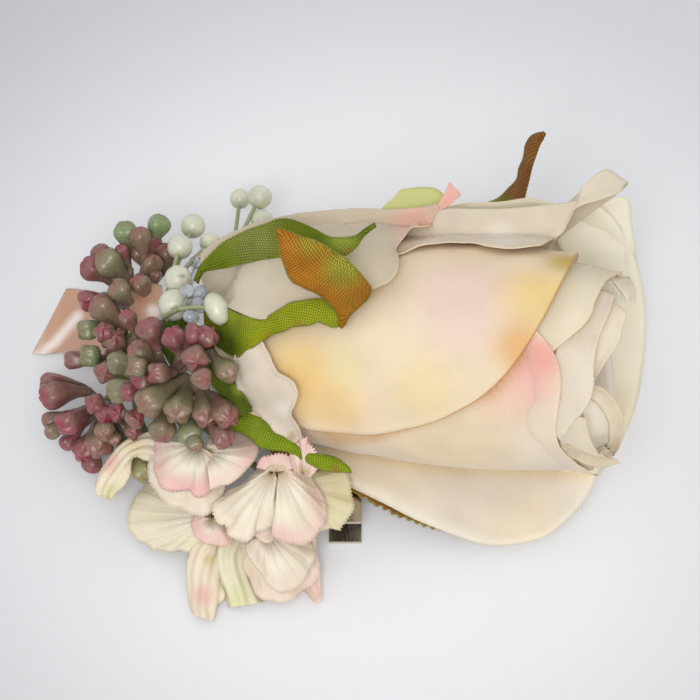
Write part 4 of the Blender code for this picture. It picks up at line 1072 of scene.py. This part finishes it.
left = edge((455, 214), (475, 209), (488, 203), (500, 196), (510, 188), (517, 178), (521, 165), (523, 155),
            (525, 145), (531, 136), (544, 133), third=(11, 16, 24, 34, 42))
right = edge((450, 232), (475, 226), (500, 221), (516, 213), (524, 200), (528, 186), (533, 165), (538, 151),
             (541, 143), (545, 133), third=(10, 15, 23, 33, 42))
blade = woven(between(left, right, 90, 12, 0.8), at_height, "85582C",
              (((488, 208), 34, "7C8A2A", 0.95), ((522, 158), 5, "8C8F3A", 0.7)), thick=LEAF_THICK,
              ruffle=0.2, wave=6.0, teeth=0.45, seed=77)
for name, slot, camber, more in (
    ("sepal_5", "leaf_green", 0.08, []), ("leaf_1", "leaf_brown", 0.1, []),
    ("leaf_2", "leaf_brown", 0.1, [blade]),
):
    made("cloth_" + name, [leaf(name, camber=camber, **LEAVES[name]), *more], LEAF, name)

CALYX_PROFILE = ((3.5, -13.0), (4.4, -12.4), (6.0, -11.2), (7.2, -9.8), (6.6, -8.7), (2.4, -8.7), (2.3, 0.8))
radii, heights = zip(*CALYX_PROFILE)
cup = rounds([in_bud(h, 0, 0) for h in heights], radii, 40, rgb("566F22"))
made("calyx_cup", [cup], LEAF, "calyx")


# Sprays


def seat(fraction, toward):
    """Where a stem leaves the bundle at a share of its length, and the way out there."""
    at = route(BUNDLE_ROUTE, 41)
    i = round(fraction * 40)
    tangent = unit(at[min(i + 1, 40)] - at[max(i - 1, 0)])
    way = np.asarray(toward, float) - at[i]
    way = unit(way - np.dot(way, tangent) * tangent)
    return at[i] + way * (BUNDLE_RADIUS + GAP), way


def stem(fraction, toward, via=(), radius=0.8, colour="6E7A4A"):
    """A stem from the bundle to where it branches."""
    start, way = seat(fraction, via[0] if via else toward)
    return rounds(route([start, start + 1.6 * way, *via, toward], 26), radius, 10, rgb(colour))


BUD_SPRAYS = {
    "bud_spray_1": dict(
        leaves=0.66, junction=(-45.1, 17.8, 17.0),
        heads=((-46.5, 32.0, 25.0), (-41.5, 31.5, 22.5), (-43.5, 30.0, 28.0), (-45.5, 26.0, 27.0),
               (-41.0, 25.0, 24.5), (-50.0, 26.0, 25.0), (-54.0, 24.5, 21.5), (-44.0, 19.5, 28.5),
               (-48.5, 17.5, 27.5), (-54.0, 18.0, 23.5), (-51.5, 13.5, 26.0), (-49.0, 30.0, 16.5),
               (-43.5, 31.0, 16.0), (-55.5, 24.0, 13.5)),
    ),
    "bud_spray_2": dict(
        leaves=0.84, junction=(-50.4, 7.6, 15.0),
        heads=((-55.5, 12.0, 18.5), (-50.0, 7.8, 25.5), (-55.0, 5.6, 19.6), (-50.6, 1.6, 21.6),
               (-57.4, 8.6, 13.0)),
    ),
    "bud_spray_3": dict(
        leaves=0.02, junction=(-36.4, -4.5, 29.6),
        heads=((-39.5, -0.5, 38.5), (-34.8, -1.8, 41.3), (-30.4, -3.6, 44.6), (-32.0, -8.6, 42.0),
               (-28.8, -13.0, 43.4), (-36.5, -7.6, 40.0), (-42.0, -6.5, 36.5), (-44.0, -9.0, 31.0),
               (-40.5, -13.0, 33.0), (-35.0, -15.0, 33.8), (-29.8, -14.8, 33.4), (-43.5, -2.0, 27.5),
               (-39.4, -14.4, 26.5), (-33.6, -15.8, 27.5)),
    ),
    "bud_spray_4": dict(
        leaves=0.97, junction=(-50.8, 0.8, 9.0),
        heads=((-61.0, -0.5, 13.5), (-60.5, 4.0, 8.5), (-57.5, -6.0, 14.5), (-62.5, -2.0, 6.5),
               (-50.0, -9.0, 14.5), (-56.0, -10.0, 8.5), (-52.0, -11.5, 4.4), (-46.5, -6.0, 15.5),
               (-45.0, -10.6, 9.5), (-58.0, -6.0, 4.2), (-52.0, -4.0, 17.0)),
    ),
}
# Each bud in the picture: its head, radius, foot and how green it is. A foot at 0, 0 is toward the junction.
# Buds are drawn a little larger than the picture's scale
BUD_PIXELS_PER_MM = 4.7
BUDS = (
    (125, 232, 12, 127, 252, 0.9), (158, 225, 12, 150, 250, 1.0), (140, 237, 11, 145, 262, 0.35),
    (141, 252, 12, 150, 275, 0.4), (167, 254, 12, 160, 275, 0.3), (140, 284, 11, 150, 298, 0.35),
    (108, 262, 16, 130, 280, 0.6), (92, 268, 13, 112, 283, 0.15), (101, 253, 10, 0, 0, 0.2),
    (120, 290, 12, 132, 305, 0.5), (88, 300, 11, 105, 295, 0.1), (103, 307, 14, 130, 330, 0.4),
    (128, 318, 9, 138, 335, 0.2), (87, 330, 11, 115, 325, 0.8), (156, 275, 6, 152, 297, 0.3),
    (122, 250, 7, 130, 268, 0.1), (150, 330, 13, 158, 350, 0.15), (174, 338, 12, 180, 355, 0.1),
    (207, 337, 11, 195, 350, 0.1), (195, 358, 13, 190, 345, 0.25), (227, 372, 11, 212, 352, 0.6),
    (114, 340, 12, 0, 0, 0.35), (90, 356, 12, 0, 0, 0.8), (140, 352, 13, 0, 0, 0.4),
    (158, 373, 11, 175, 372, 0.3), (143, 380, 13, 0, 0, 0.15), (129, 392, 9, 0, 0, 0.05),
    (150, 402, 15, 187, 377, 0.55), (178, 410, 14, 186, 380, 0.6), (206, 415, 13, 200, 385, 0.45),
    (226, 415, 13, 212, 395, 0.3), (223, 438, 11, 0, 0, 0.25), (190, 435, 12, 0, 0, 0.75),
    (163, 430, 13, 0, 0, 0.45), (195, 445, 8, 0, 0, 0.6), (118, 390, 12, 0, 0, 0.6),
    (105, 372, 11, 0, 0, 0.3), (118, 362, 12, 0, 0, 0.6), (135, 418, 10, 0, 0, 0.2),
    (133, 432, 8, 0, 0, 0.3), (117, 412, 10, 0, 0, 0.1), (52, 395, 14, 90, 392, 0.2),
    (50, 383, 11, 85, 388, 0.2), (68, 423, 13, 98, 400, 0.1), (50, 420, 9, 0, 0, 0.3),
    (52, 432, 8, 0, 0, 0.5), (99, 445, 14, 105, 415, 0.35), (85, 450, 13, 95, 425, 0.1),
    (92, 464, 10, 0, 0, 0.1), (67, 443, 8, 0, 0, 0.0), (105, 415, 10, 0, 0, 0.0), (115, 440, 7, 0, 0, 0.4),
    (143, 472, 11, 0, 0, 1.2),
)
BUD_SHARES = np.array((0.0, 0.3, 0.55, 0.75, 0.9))
BUD_END = np.array((0.0, 0.25, 0.45, 0.62, 0.75, 0.84, 0.9))
BUD_SWELL = np.array((0.34, 0.42, 0.64, 0.84, 0.96, 1.0, 0.98, 0.88, 0.7, 0.46, 0.24, 0.07))
BUD_LOBING = np.array((0.02, 0.05, 0.08, 0.09, 0.1, 0.11, 0.12, 0.14, 0.17, 0.19, 0.2, 0.1))
BUD_PUSH = np.array((0.0, 0.0, 0.0, 0.0, 0.0, 0.0, 0.01, 0.03, 0.06, 0.08, 0.08, 0.03))
PLUM_DYE, GREEN_DYE, TIP_DYE, LOW_DYE = rgb("863648"), rgb("7F9464"), rgb("A02848"), rgb("7A5B54")


def bud(foot, head, radius, greenness, rng):
    """A closed, lobed bud, club-shaped from its foot to its head."""
    distance = np.linalg.norm(head - foot)
    way = (head - foot) / distance
    stations = np.r_[BUD_SHARES * distance, distance + BUD_END * radius]
    smooth = np.linspace(0, stations[-1], 26)
    smooth = np.r_[smooth[:-1], stations[-1] - 0.08 * radius, stations[-1]]
    profile = (BUD_SWELL * radius, BUD_LOBING, BUD_PUSH * radius)
    radii, lobing, push = (np.interp(smooth, stations, values) for values in profile)
    green = np.clip(greenness, 0, 1)
    body = PLUM_DYE * (1 - green) + GREEN_DYE * green
    if greenness > 1:
        body = rgb("9B935F")
    low = (1 - step(smooth / stations[-1], 0.1, 0.7))[:, None] * 0.6
    colour = body * (1 - low) + LOW_DYE * low
    tip = (step(smooth / stations[-1], 0.8, 1.0) * 0.6 * (1 - 0.75 * green))[:, None]
    colour = colour * (1 - tip) + TIP_DYE * tip
    bend = np.cross(way, unit(rng.normal(size=3))) * 0.05 * distance
    path = foot + np.outer(smooth, way) + np.outer(np.sin(math.pi * np.clip(smooth / distance, 0, 1)), bend)
    return rounds(path, radii, 22, colour, lobes=int(rng.integers(3, 6)), lobing=lobing, push=push)


def below(head, junction):
    """A bud's foot, a little way from its head toward where its stem branches."""
    return head + unit(junction - head) * min(5.0, 0.8 * np.linalg.norm(junction - head))


heads = [(name, *seen_at(head), head[2]) for name, spec in BUD_SPRAYS.items() for head in spec["heads"]]
head_places = np.array([entry[1:3] for entry in heads])
head_heights = np.array([entry[3] for entry in heads])
sprays = {name: [stem(spec["leaves"], spec["junction"])] for name, spec in BUD_SPRAYS.items()}
rng = np.random.default_rng(5)
for x, y, radius, foot_x, foot_y, greenness in BUDS:
    distance = np.linalg.norm(head_places - (x, y), axis=1)
    nearest = np.argsort(distance)[:3]
    weight = 1 / (distance[nearest] + 4) ** 2
    height = float(np.sum(head_heights[nearest] * weight) / np.sum(weight))
    name = heads[nearest[0]][0]
    junction = np.array(BUD_SPRAYS[name]["junction"])
    head = at_height(x, y, max(height, radius / PIXELS_PER_MM + 0.4))
    foot = at_height(foot_x, foot_y, max(height - 3.5, 2.0)) if foot_x else below(head, junction)
    parts = sprays[name]
    parts.append(bud(foot, head, radius / BUD_PIXELS_PER_MM, greenness, rng))
    parts.append(rounds(route([foot, (foot + junction) / 2 - (0, 0, 0.5), junction], 10), 0.75, 10, LOW_DYE))
for name, parts in sprays.items():
    for head in BUD_SPRAYS[name]["heads"]:
        head = np.asarray(head, float)
        if np.min(np.linalg.norm(np.array([b[:2] for b in BUDS]) - seen_at(head), axis=1)) > 12:
            foot = below(head, np.array(BUD_SPRAYS[name]["junction"]))
            parts.append(bud(foot, head, 2.2, rng.uniform(0, 0.6), rng))
    made(name.replace("bud_spray", "bud_cluster"), parts, PLUM, name)

# Each berry in the picture: its place, height, radius and how long it is
BERRY_SPRIGS = {
    "berry_sprig_1": dict(
        leaves=0.1, via=((-39.0, 14.0, 25.0),), junction=(-36.8, 16.0, 29.5),
        berries=((193, 226, 24, 13, 1.0), (180, 247, 29, 13, 1.0), (210, 243, 25, 11, 1.0),
                 (178, 279, 36, 14, 1.0), (174, 305, 36, 16, 1.05)),
    ),
    "berry_sprig_2": dict(
        leaves=0.3, via=((-37.0, 19.0, 16.5), (-30.0, 28.5, 10.5)), junction=(-25.0, 37.5, 8.0),
        berries=((240, 199, 8.5, 11, 1.0), (260, 197, 12.5, 13, 1.0), (262, 220, 10.6, 12, 1.0),
                 (235, 242, 3.4, 12, 1.0)),
    ),
    "berry_sprig_3": dict(
        leaves=0.06, via=((-38.2, 5.8, 31.0), (-36.6, 4.6, 37.6)), junction=(-34.2, 4.4, 40.4),
        berries=((217, 309, 44.4, 11.5, 1.5),),
    ),
}


def berry(centre, radius, stretch, axis):
    """A pip with a dimple and a dark point at its end."""
    share = np.linspace(0.02, 0.98, 20)
    angles = share * math.pi
    rise = -np.cos(angles) * radius * stretch
    rise = rise - 0.22 * radius * np.exp(-((1 - share) / 0.07) ** 2)
    colours = np.broadcast_to(rgb("D3D3BE"), (20, 3)).copy()
    foot = np.exp(-(share / 0.22) ** 2)[:, None] * 0.55
    colours = colours * (1 - foot) + rgb("A4AA80") * foot
    point = np.exp(-((1 - share) / 0.05) ** 2)[:, None] * 0.7
    colours = colours * (1 - point) + rgb("6F6A42") * point
    path = np.asarray(centre) + np.outer(rise, unit(axis))
    return rounds(path, np.sin(angles) * radius, 28, colours)


for name, spec in BERRY_SPRIGS.items():
    parts = [stem(spec["leaves"], spec["junction"], spec["via"], radius=0.5, colour="8C9468")]
    for x, y, height, radius, stretch in spec["berries"]:
        centre = at_height(x, y, height)
        hang = unit(centre - spec["junction"]) if stretch < 1.2 else unit(0.45 * SIDEWAYS - 0.9 * PICTURE_UP)
        parts.append(berry(centre, radius / PIXELS_PER_MM, stretch, hang))
        sag = (spec["junction"] + centre) / 2 + (0, 0, 0.8)
        parts.append(rounds(route([spec["junction"], sag, centre], 10), 0.45, 8, rgb("9AA078")))
    made(name.replace("berry_sprig", "berry_stem"), parts, BERRY, name)

BEAD_HEADS = ((187, 291, 42), (200, 293, 42), (199, 305, 42), (191, 317, 42), (204, 296, 40), (206, 255, 26),
              (197, 262, 27))
BEAD_JUNCTION = (-35.0, 7.4, 33.4)
parts = [stem(0.02, BEAD_JUNCTION, radius=0.45)]
for k, (x, y, height) in enumerate(BEAD_HEADS):
    head = at_height(x, y, height)
    parts.append(rounds(route([BEAD_JUNCTION, head], 4), 0.3, 8, rgb("DDE6E8")))
    axis = unit((math.cos(k), math.sin(k), 0.4))
    angles = np.linspace(0.08, 0.92, 6) * math.pi
    path = head - np.outer(np.cos(angles) * 1.7, axis)
    parts.append(rounds(path, np.sin(angles) * 1.5, 7, rgb("DDE6E8")))
made("bead_stem", parts, BEAD, "bead_sprig")

# Blossoms: the stem, the centre, and each petal's root, rim, heights along the rim, rise, blush and pleats
BLOSSOMS = {
    "blossom_1": dict(
        leaves=0.16, via=((-37.5, -3.0, 18.5),), centre=(-31.0, -15.0, 20.0),
        petals=(
            ((196, 446, 20), (
                (151, 446), (150, 460), (150, 475), (151, 485), (156, 494), (163, 502), (168, 505),
                (175, 508), (182, 509), (188, 513), (196, 515), (204, 515), (209, 512), (214, 505),
                (219, 495), (224, 480), (226, 460),
            ), (18, 16, 15, 16, 18), 3.0, 0.1, 0.25),
            ((198, 444, 21.5), (
                (154, 440), (153, 455), (153, 470), (158, 480), (168, 488), (176, 490), (184, 490),
                (192, 491), (196, 496), (204, 496), (212, 489), (219, 482), (224, 462),
            ), (20, 19.5, 20), 4.0, 0.75, 0.3),
            ((206, 452, 22), (
                (210, 434), (222, 438), (238, 433), (245, 437), (252, 442), (258, 450), (255, 458),
                (249, 465), (243, 470), (232, 480), (218, 487), (210, 490),
            ), (22, 24, 22), 3.0, 0.4, 0.3),
        ),
    ),
    "blossom_2": dict(
        leaves=0.24, via=((-36.5, 0.5, 13.5), (-24.0, -12.0, 12.5)), centre=(-15.5, -21.5, 17.4),
        petals=(
            ((292, 485, 14), (
                (305, 476), (312, 474), (320, 471), (332, 470), (342, 473), (348, 480), (350, 490),
                (352, 500), (353, 510), (350, 516), (343, 526), (340, 531), (331, 528), (322, 530),
                (310, 528),
            ), (14, 12, 11), 2.0, -0.55, 0.25),
            ((266, 500, 16), (
                (250, 530), (254, 534), (258, 538), (268, 543), (276, 537), (280, 520),
            ), (15, 14), 1.0, 0.1, 0.2),
            ((273, 470, 19), (
                (275, 461), (264, 467), (252, 478), (240, 487), (228, 494), (218, 502), (214, 510),
                (215, 518), (219, 524), (225, 527), (227, 534), (232, 538), (238, 540), (245, 541),
                (250, 537), (254, 531), (262, 530), (270, 526), (275, 520), (277, 505), (279, 485),
            ), (20, 17, 16, 18), 3.5, 0.05, 0.35),
            ((279, 468, 19.5), (
                (272, 536), (275, 540), (280, 542), (287, 544), (294, 544), (303, 545), (309, 540),
                (313, 534), (319, 528), (325, 524), (328, 517), (326, 508), (321, 496), (314, 486),
                (305, 477), (295, 468), (285, 462),
            ), (16, 14.5, 16, 19), 3.5, 0.45, 0.35),
            ((276, 472, 20), (
                (256, 468), (258, 463), (262, 457), (270, 455), (280, 453), (292, 457), (297, 468),
            ), (22, 25, 22), 1.2, 0.5, 0.2),
            ((303, 474, 21), (
                (295, 472), (292, 462), (292, 450), (295, 441), (299, 428), (303, 434), (307, 441),
                (313, 448), (318, 460), (316, 469), (310, 478),
            ), (23, 31.5, 24), 2.5, 0.5, 0.2),
        ),
    ),
    "blossom_3": dict(
        leaves=0.72, via=((-44.2, -1.0, 10.5), (-36.0, -14.0, 6.0)), centre=(-26.0, -26.0, 7.4),
        petals=(
            ((300, 560, 3), (
                (312, 566), (317, 572), (321, 590), (319, 603), (314, 598), (308, 590),
            ), (3, 0.6), 0.5, 0.2, 0.2),
            ((262, 530, 7), (
                (238, 540), (240, 552), (242, 565), (247, 577), (254, 589), (262, 597), (269, 601),
                (280, 603), (291, 599), (300, 592), (307, 588), (313, 584), (316, 578), (318, 570),
                (317, 560), (315, 548), (313, 536),
            ), (5, 3, 2, 3, 6), 2.6, 0.3, 0.25),
            ((266, 532, 9), (
                (246, 545), (249, 558), (256, 569), (263, 578), (275, 590), (284, 592), (298, 587),
                (308, 576), (313, 561), (312, 542),
            ), (8, 6, 7), 3.0, 0.12, 0.3),
            ((212, 516, 8), (
                (168, 470), (152, 478), (146, 483), (140, 490), (134, 500), (131, 510), (129, 522),
                (130, 531), (134, 537), (139, 543), (146, 546), (150, 550), (158, 551), (170, 552),
                (176, 550), (190, 552), (197, 549), (206, 543), (212, 534),
            ), (7, 4, 3, 5), 2.8, -0.15, 0.3),
            ((212, 518, 9.5), (
                (196, 516), (192, 524), (193, 531), (196, 537), (203, 543), (213, 544), (224, 544),
                (231, 541), (231, 533), (226, 524),
            ), (10, 8, 9), 1.5, 0.55, 0.3),
        ),
    ),
}

# Petals folded lengthwise: two edges with their heights, the dye and its blobs
FOLDED_PETALS = {
    "blossom_1": ((
        ((168, 438), (158, 436), (148, 432), (140, 433), (130, 438), (120, 445), (111, 455), (103, 467),
         (97, 478), (94, 487), (97, 494)), (18, 15, 12, 8),
        ((166, 458), (156, 461), (146, 460), (134, 459), (130, 466), (128, 478), (124, 487), (117, 492),
         (112, 499), (104, 499)), (17, 15, 12, 8),
        "EFE0C2", (((108, 462), 17, "F0B9AC", 0.8), ((112, 494), 16, "DCD79C", 0.7),
                   ((134, 446), 12, "E8CE94", 0.6)),
    ),),
    "blossom_3": ((
        ((210, 530), (198, 540), (191, 556), (187, 575), (186, 592), (187, 606), (190, 614)),
        (7, 4, 1.6, 0.9),
        ((222, 532), (219, 550), (219, 566), (221, 580), (225, 597), (218, 607), (211, 621)),
        (7, 4.5, 2.0, 1.0), "EFDFC3", (((203, 595), 16, "F2B6AE", 0.7), ((209, 560), 9, "E0BF84", 0.7)),
    ), (
        ((222, 532), (213, 548), (213, 562), (217, 577), (222, 592), (227, 608)), (6, 3, 0.9),
        ((240, 536), (240, 548), (244, 562), (249, 578), (257, 592), (262, 603)), (6, 3, 0.9),
        "E9E3C4", (((240, 600), 24, "DEDCA4", 0.7),),
    )),
}
BLOSSOM_THICK = 0.22


def blossom_petal(root, rim, heights, rise, blush, pleats, seed):
    """A pleated petal fanned from its root, with a pinked rim. Blush is pink, or yellow below none."""
    rim = edge(*rim, third=heights)
    columns = 2 * max(14, round(chords(rim[:, :2])[-1] / 3.4))
    grid = fanned(root, rim, columns, 16, rise)
    dye = rgb("F0E3CA")
    if blush < 0:
        dye = dye * (1 + blush) - rgb("E2DC9E") * blush
    middle = grid[..., :2].mean((0, 1))
    ends = rim[::max(1, len(rim) // 5), :2]
    blobs = [(end, 24, "F2B4B2", 0.85 * blush) for end in ends] if blush > 0 else []
    blobs.append((middle, 20, "F4EBDC", 0.4))
    blobs.append((root[:2], 14, "DCC79A", 0.6))
    return woven(grid, at_height, dye, blobs, fan=True, thick=BLOSSOM_THICK, ruffle=0.5, wave=7.0, teeth=0.9,
                 pleats=pleats * 0.3, roll=0.3, seed=seed)


for name, spec in BLOSSOMS.items():
    centre = np.asarray(spec["centre"])
    knob = -np.cos(np.linspace(0.1, 0.9, 8) * math.pi) * 1.7
    parts = [rounds(centre + np.outer(knob, (0, 0, 1)), np.sqrt(1.72 ** 2 - knob ** 2), 16, rgb("C9A468"))]
    parts.append(stem(spec["leaves"], centre, spec["via"]))
    for k, petal in enumerate(spec["petals"]):
        parts.append(blossom_petal(*petal, 7 * k + len(name) + ord(name[-1])))
    for k, (*lines, dye, blobs) in enumerate(FOLDED_PETALS.get(name, ())):
        parts.append(woven(spanned(*lines, 60, 22, 1.6), at_height, dye, blobs, thick=BLOSSOM_THICK,
                           ruffle=0.3, folds=0.32, teeth=0.3, seed=50 + k))
    made(name.replace("blossom", "silk_blossom"), parts, BLOSSOM, name)

# The bound bundle and the ribbon
bundle = rounds(route(BUNDLE_ROUTE, 30), BUNDLE_RADIUS, 32, rgb("5F6B35"))
made("taped_stems", [bundle], TAPE, "stem_bundle")

RIBBON_TAIL_ROUTE = (
    (-47.2, 12.1, 10.4), (-49.8, 17.0, 5.6), (-53.5, 21.8, 1.8), (-58.5, 24.8, 0.5), (-64.5, 25.4, 0.3),
)
RIBBON_TAIL_ACROSS = ((-0.9, -0.42, 0), (-0.8, -0.6, 0), (-0.6, -0.8, 0), (-0.3, -0.95, 0), (-0.05, -1, 0))
RIBBON_TAIL_HALVES = (3.0, 5.6, 7.6, 8.0, 8.2)
RIBBON_SLANT, RIBBON_THICK, RIBBON_HALF = 2.5, 0.28, 8.2
# The ribbon's peach dye, and the near-white of its painted highlights
PEACH, SATIN_HIGHLIGHT = "C4967A", "FBEFE6"
# The bundle's samples, and those that the ribbon is wound round
BUNDLE_SAMPLES, WOUND = 401, slice(152, 249, 4)
RIBBON_TURNS = 3


def ribbon_tail():
    """The ribbon's tail, gathered at the bundle and cut on a slant, and its length."""
    rows, columns = 60, 24
    at, middle, width, tangents, side, normals = strip(
        RIBBON_TAIL_ROUTE, RIBBON_TAIL_ACROSS, RIBBON_TAIL_HALVES, rows
    )
    u = np.linspace(-1, 1, columns + 1)
    reach = width[:, None] * u
    further = RIBBON_SLANT * u * step(np.linspace(0, 1, rows + 1), 0.4, 1)[:, None]
    gather = 0.5 * (1 - step(at, 2, 16))[:, None] * np.sin(u * 7)
    points = middle[:, None] + reach[..., None] * side[:, None] + further[..., None] * tangents[:, None]
    points = points + gather[..., None] * normals[:, None]
    points[..., 2] = np.maximum(points[..., 2] + 0.25 * (u ** 2) * step(at, 8, 20)[:, None], 0.2)
    cloth = np.stack([RIBBON_HALF * u + 0 * reach, at[:, None] + further], -1)
    to_rim = RIBBON_HALF * (1 - np.abs(u)) + 0 * reach
    # A painted highlight stripe along the tail's arch, and a paler band along its slanted cut edge
    colour = striped(painted(points, PEACH), points, ((34, 358), (55, 343), (78, 316)), 9, SATIN_HIGHLIGHT, 0.85)
    colour = striped(colour, points, ((58, 284), (48, 305), (38, 356)), 6, "D6B7A4", 0.6)
    return plate(points, RIBBON_THICK, cloth, to_rim, colour), float(at[-1])


def ribbon_turns():
    """The ribbon's turns round the bundle."""
    at = route(BUNDLE_ROUTE, BUNDLE_SAMPLES)[WOUND]
    turns = np.linspace(0, RIBBON_TURNS, len(at))
    swell = BUNDLE_RADIUS + GAP + 0.25 + 0.3 * np.abs(np.sin(math.pi * turns))
    tangents = unit(np.gradient(at, axis=0))
    across = unit(np.cross(tangents, (0.1, 1, 0.2)))
    other = np.cross(tangents, across)
    angles = np.linspace(0, 2 * math.pi, 65)[:, None]
    around = np.cos(angles)[..., None] * across + np.sin(angles)[..., None] * other
    middle = at + swell[None, :, None] * around
    cloth = np.stack([angles * 4 + 0 * turns, chords(at) + 0 * angles], -1)
    return plate(middle, 0.5, cloth, np.full(cloth.shape[:2], NO_RIM), painted(middle, PEACH))


part, tail_length = ribbon_tail()
tail = made("satin_tail", [part], SATIN, "ribbon_tail")

upper = edge((131, 284), (142, 282), (152, 283), (162, 286), third=(22, 24))
lower = edge((128, 334), (140, 338), (152, 338), (166, 334), third=(23, 26))
# The satin loop between the sprays, with a painted highlight on its bulge
loop = woven(between(upper, lower, 30, 20, 1.2), at_height, PEACH, (((154, 312), 11, SATIN_HIGHLIGHT, 0.8),),
             thick=RIBBON_THICK, ruffle=0.3, wave=6.0, seed=4)
made("satin_wrap", [ribbon_turns(), loop], SATIN, "ribbon_wrap")

# The clip keeps its own solids
for name in ("clip_arm", "clip_jaw", "clip_pin", "clip_spring"):
    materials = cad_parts[name].data.materials
    materials.clear()
    materials.append(NICKEL)

# The table, the light and the camera, in metres
PER_DECIMETRE = 10.0
# The paper's tone, the falloff and slant of its painted pool of light, and its tint
PAPER_TONE, PAINTED_LIGHT_FALLOFF, PAINTED_LIGHT_SLANT, PAPER_TINT = 0.97, (0.43, 0.107), (0.06, 0.02), (0.97, 0.98, 1.0)


def table_paper(name):
    """Pale paper with a painted pool of light: its colour darkens away from the middle of the table, as under
    a small soft lamp.
    """
    n = Nodes(name)
    x, y = (n.math("MULTIPLY", way, PER_DECIMETRE) for way in n.parts(n.place()))
    squared = n.math("MINIMUM", n.math("ADD", n.math("MULTIPLY", x, x), n.math("MULTIPLY", y, y)), 1.7)
    slope = n.math("SUBTRACT", n.math("MULTIPLY", squared, PAINTED_LIGHT_FALLOFF[1]), PAINTED_LIGHT_FALLOFF[0])
    fall = n.math("MULTIPLY", squared, slope)
    lean = n.math("ADD", n.math("MULTIPLY", x, PAINTED_LIGHT_SLANT[0]), n.math("MULTIPLY", y, PAINTED_LIGHT_SLANT[1]))
    tone = n.math("MAXIMUM", n.math("ADD", n.math("ADD", fall, lean), PAPER_TONE), 0.3)
    n.link(n.mix(1.0, n.grey(tone), PAPER_TINT, "MULTIPLY"), "Base Color")
    n.set(Roughness=0.8, Specular_IOR_Level=0.1)
    return n.material


floor_mesh = bpy.data.meshes.new("table_top")
floor_mesh.from_pydata([(-3, -3, 0), (3, -3, 0), (3, 3, 0), (-3, 3, 0)], [], [(0, 1, 2, 3)])
floor_mesh.materials.append(table_paper("table_paper"))
floor = placed("table_top", floor_mesh)

LAMP_PLACE, LAMP_AIM = (-0.12, -0.85, 1.25), (0, 0, 0.02)
lamp = bpy.data.lights.new("softbox", "AREA")
lamp.shape = "DISK"
lamp.size = 0.8
lamp.energy = 9.5
placed("softbox", lamp, LAMP_PLACE, np.subtract(LAMP_AIM, LAMP_PLACE))

world = bpy.data.worlds.new("tent")
world.use_nodes = True
world.node_tree.nodes["Background"].inputs["Color"].default_value = (0.98, 0.98, 1.0, 1)
world.node_tree.nodes["Background"].inputs["Strength"].default_value = 0.8
bpy.context.scene.world = world
bpy.context.scene.view_settings.view_transform = "Standard"

lens = bpy.data.cameras.new("camera")
lens.sensor_width = 36
lens.lens = lens.sensor_width * FOCAL / (2 * CENTRE)
lens.clip_start = 0.01
bpy.context.scene.camera = placed("camera", lens, (FRAME_SHIFT + EYE) * MM, -TOWARD)

bpy.context.view_layer.update()
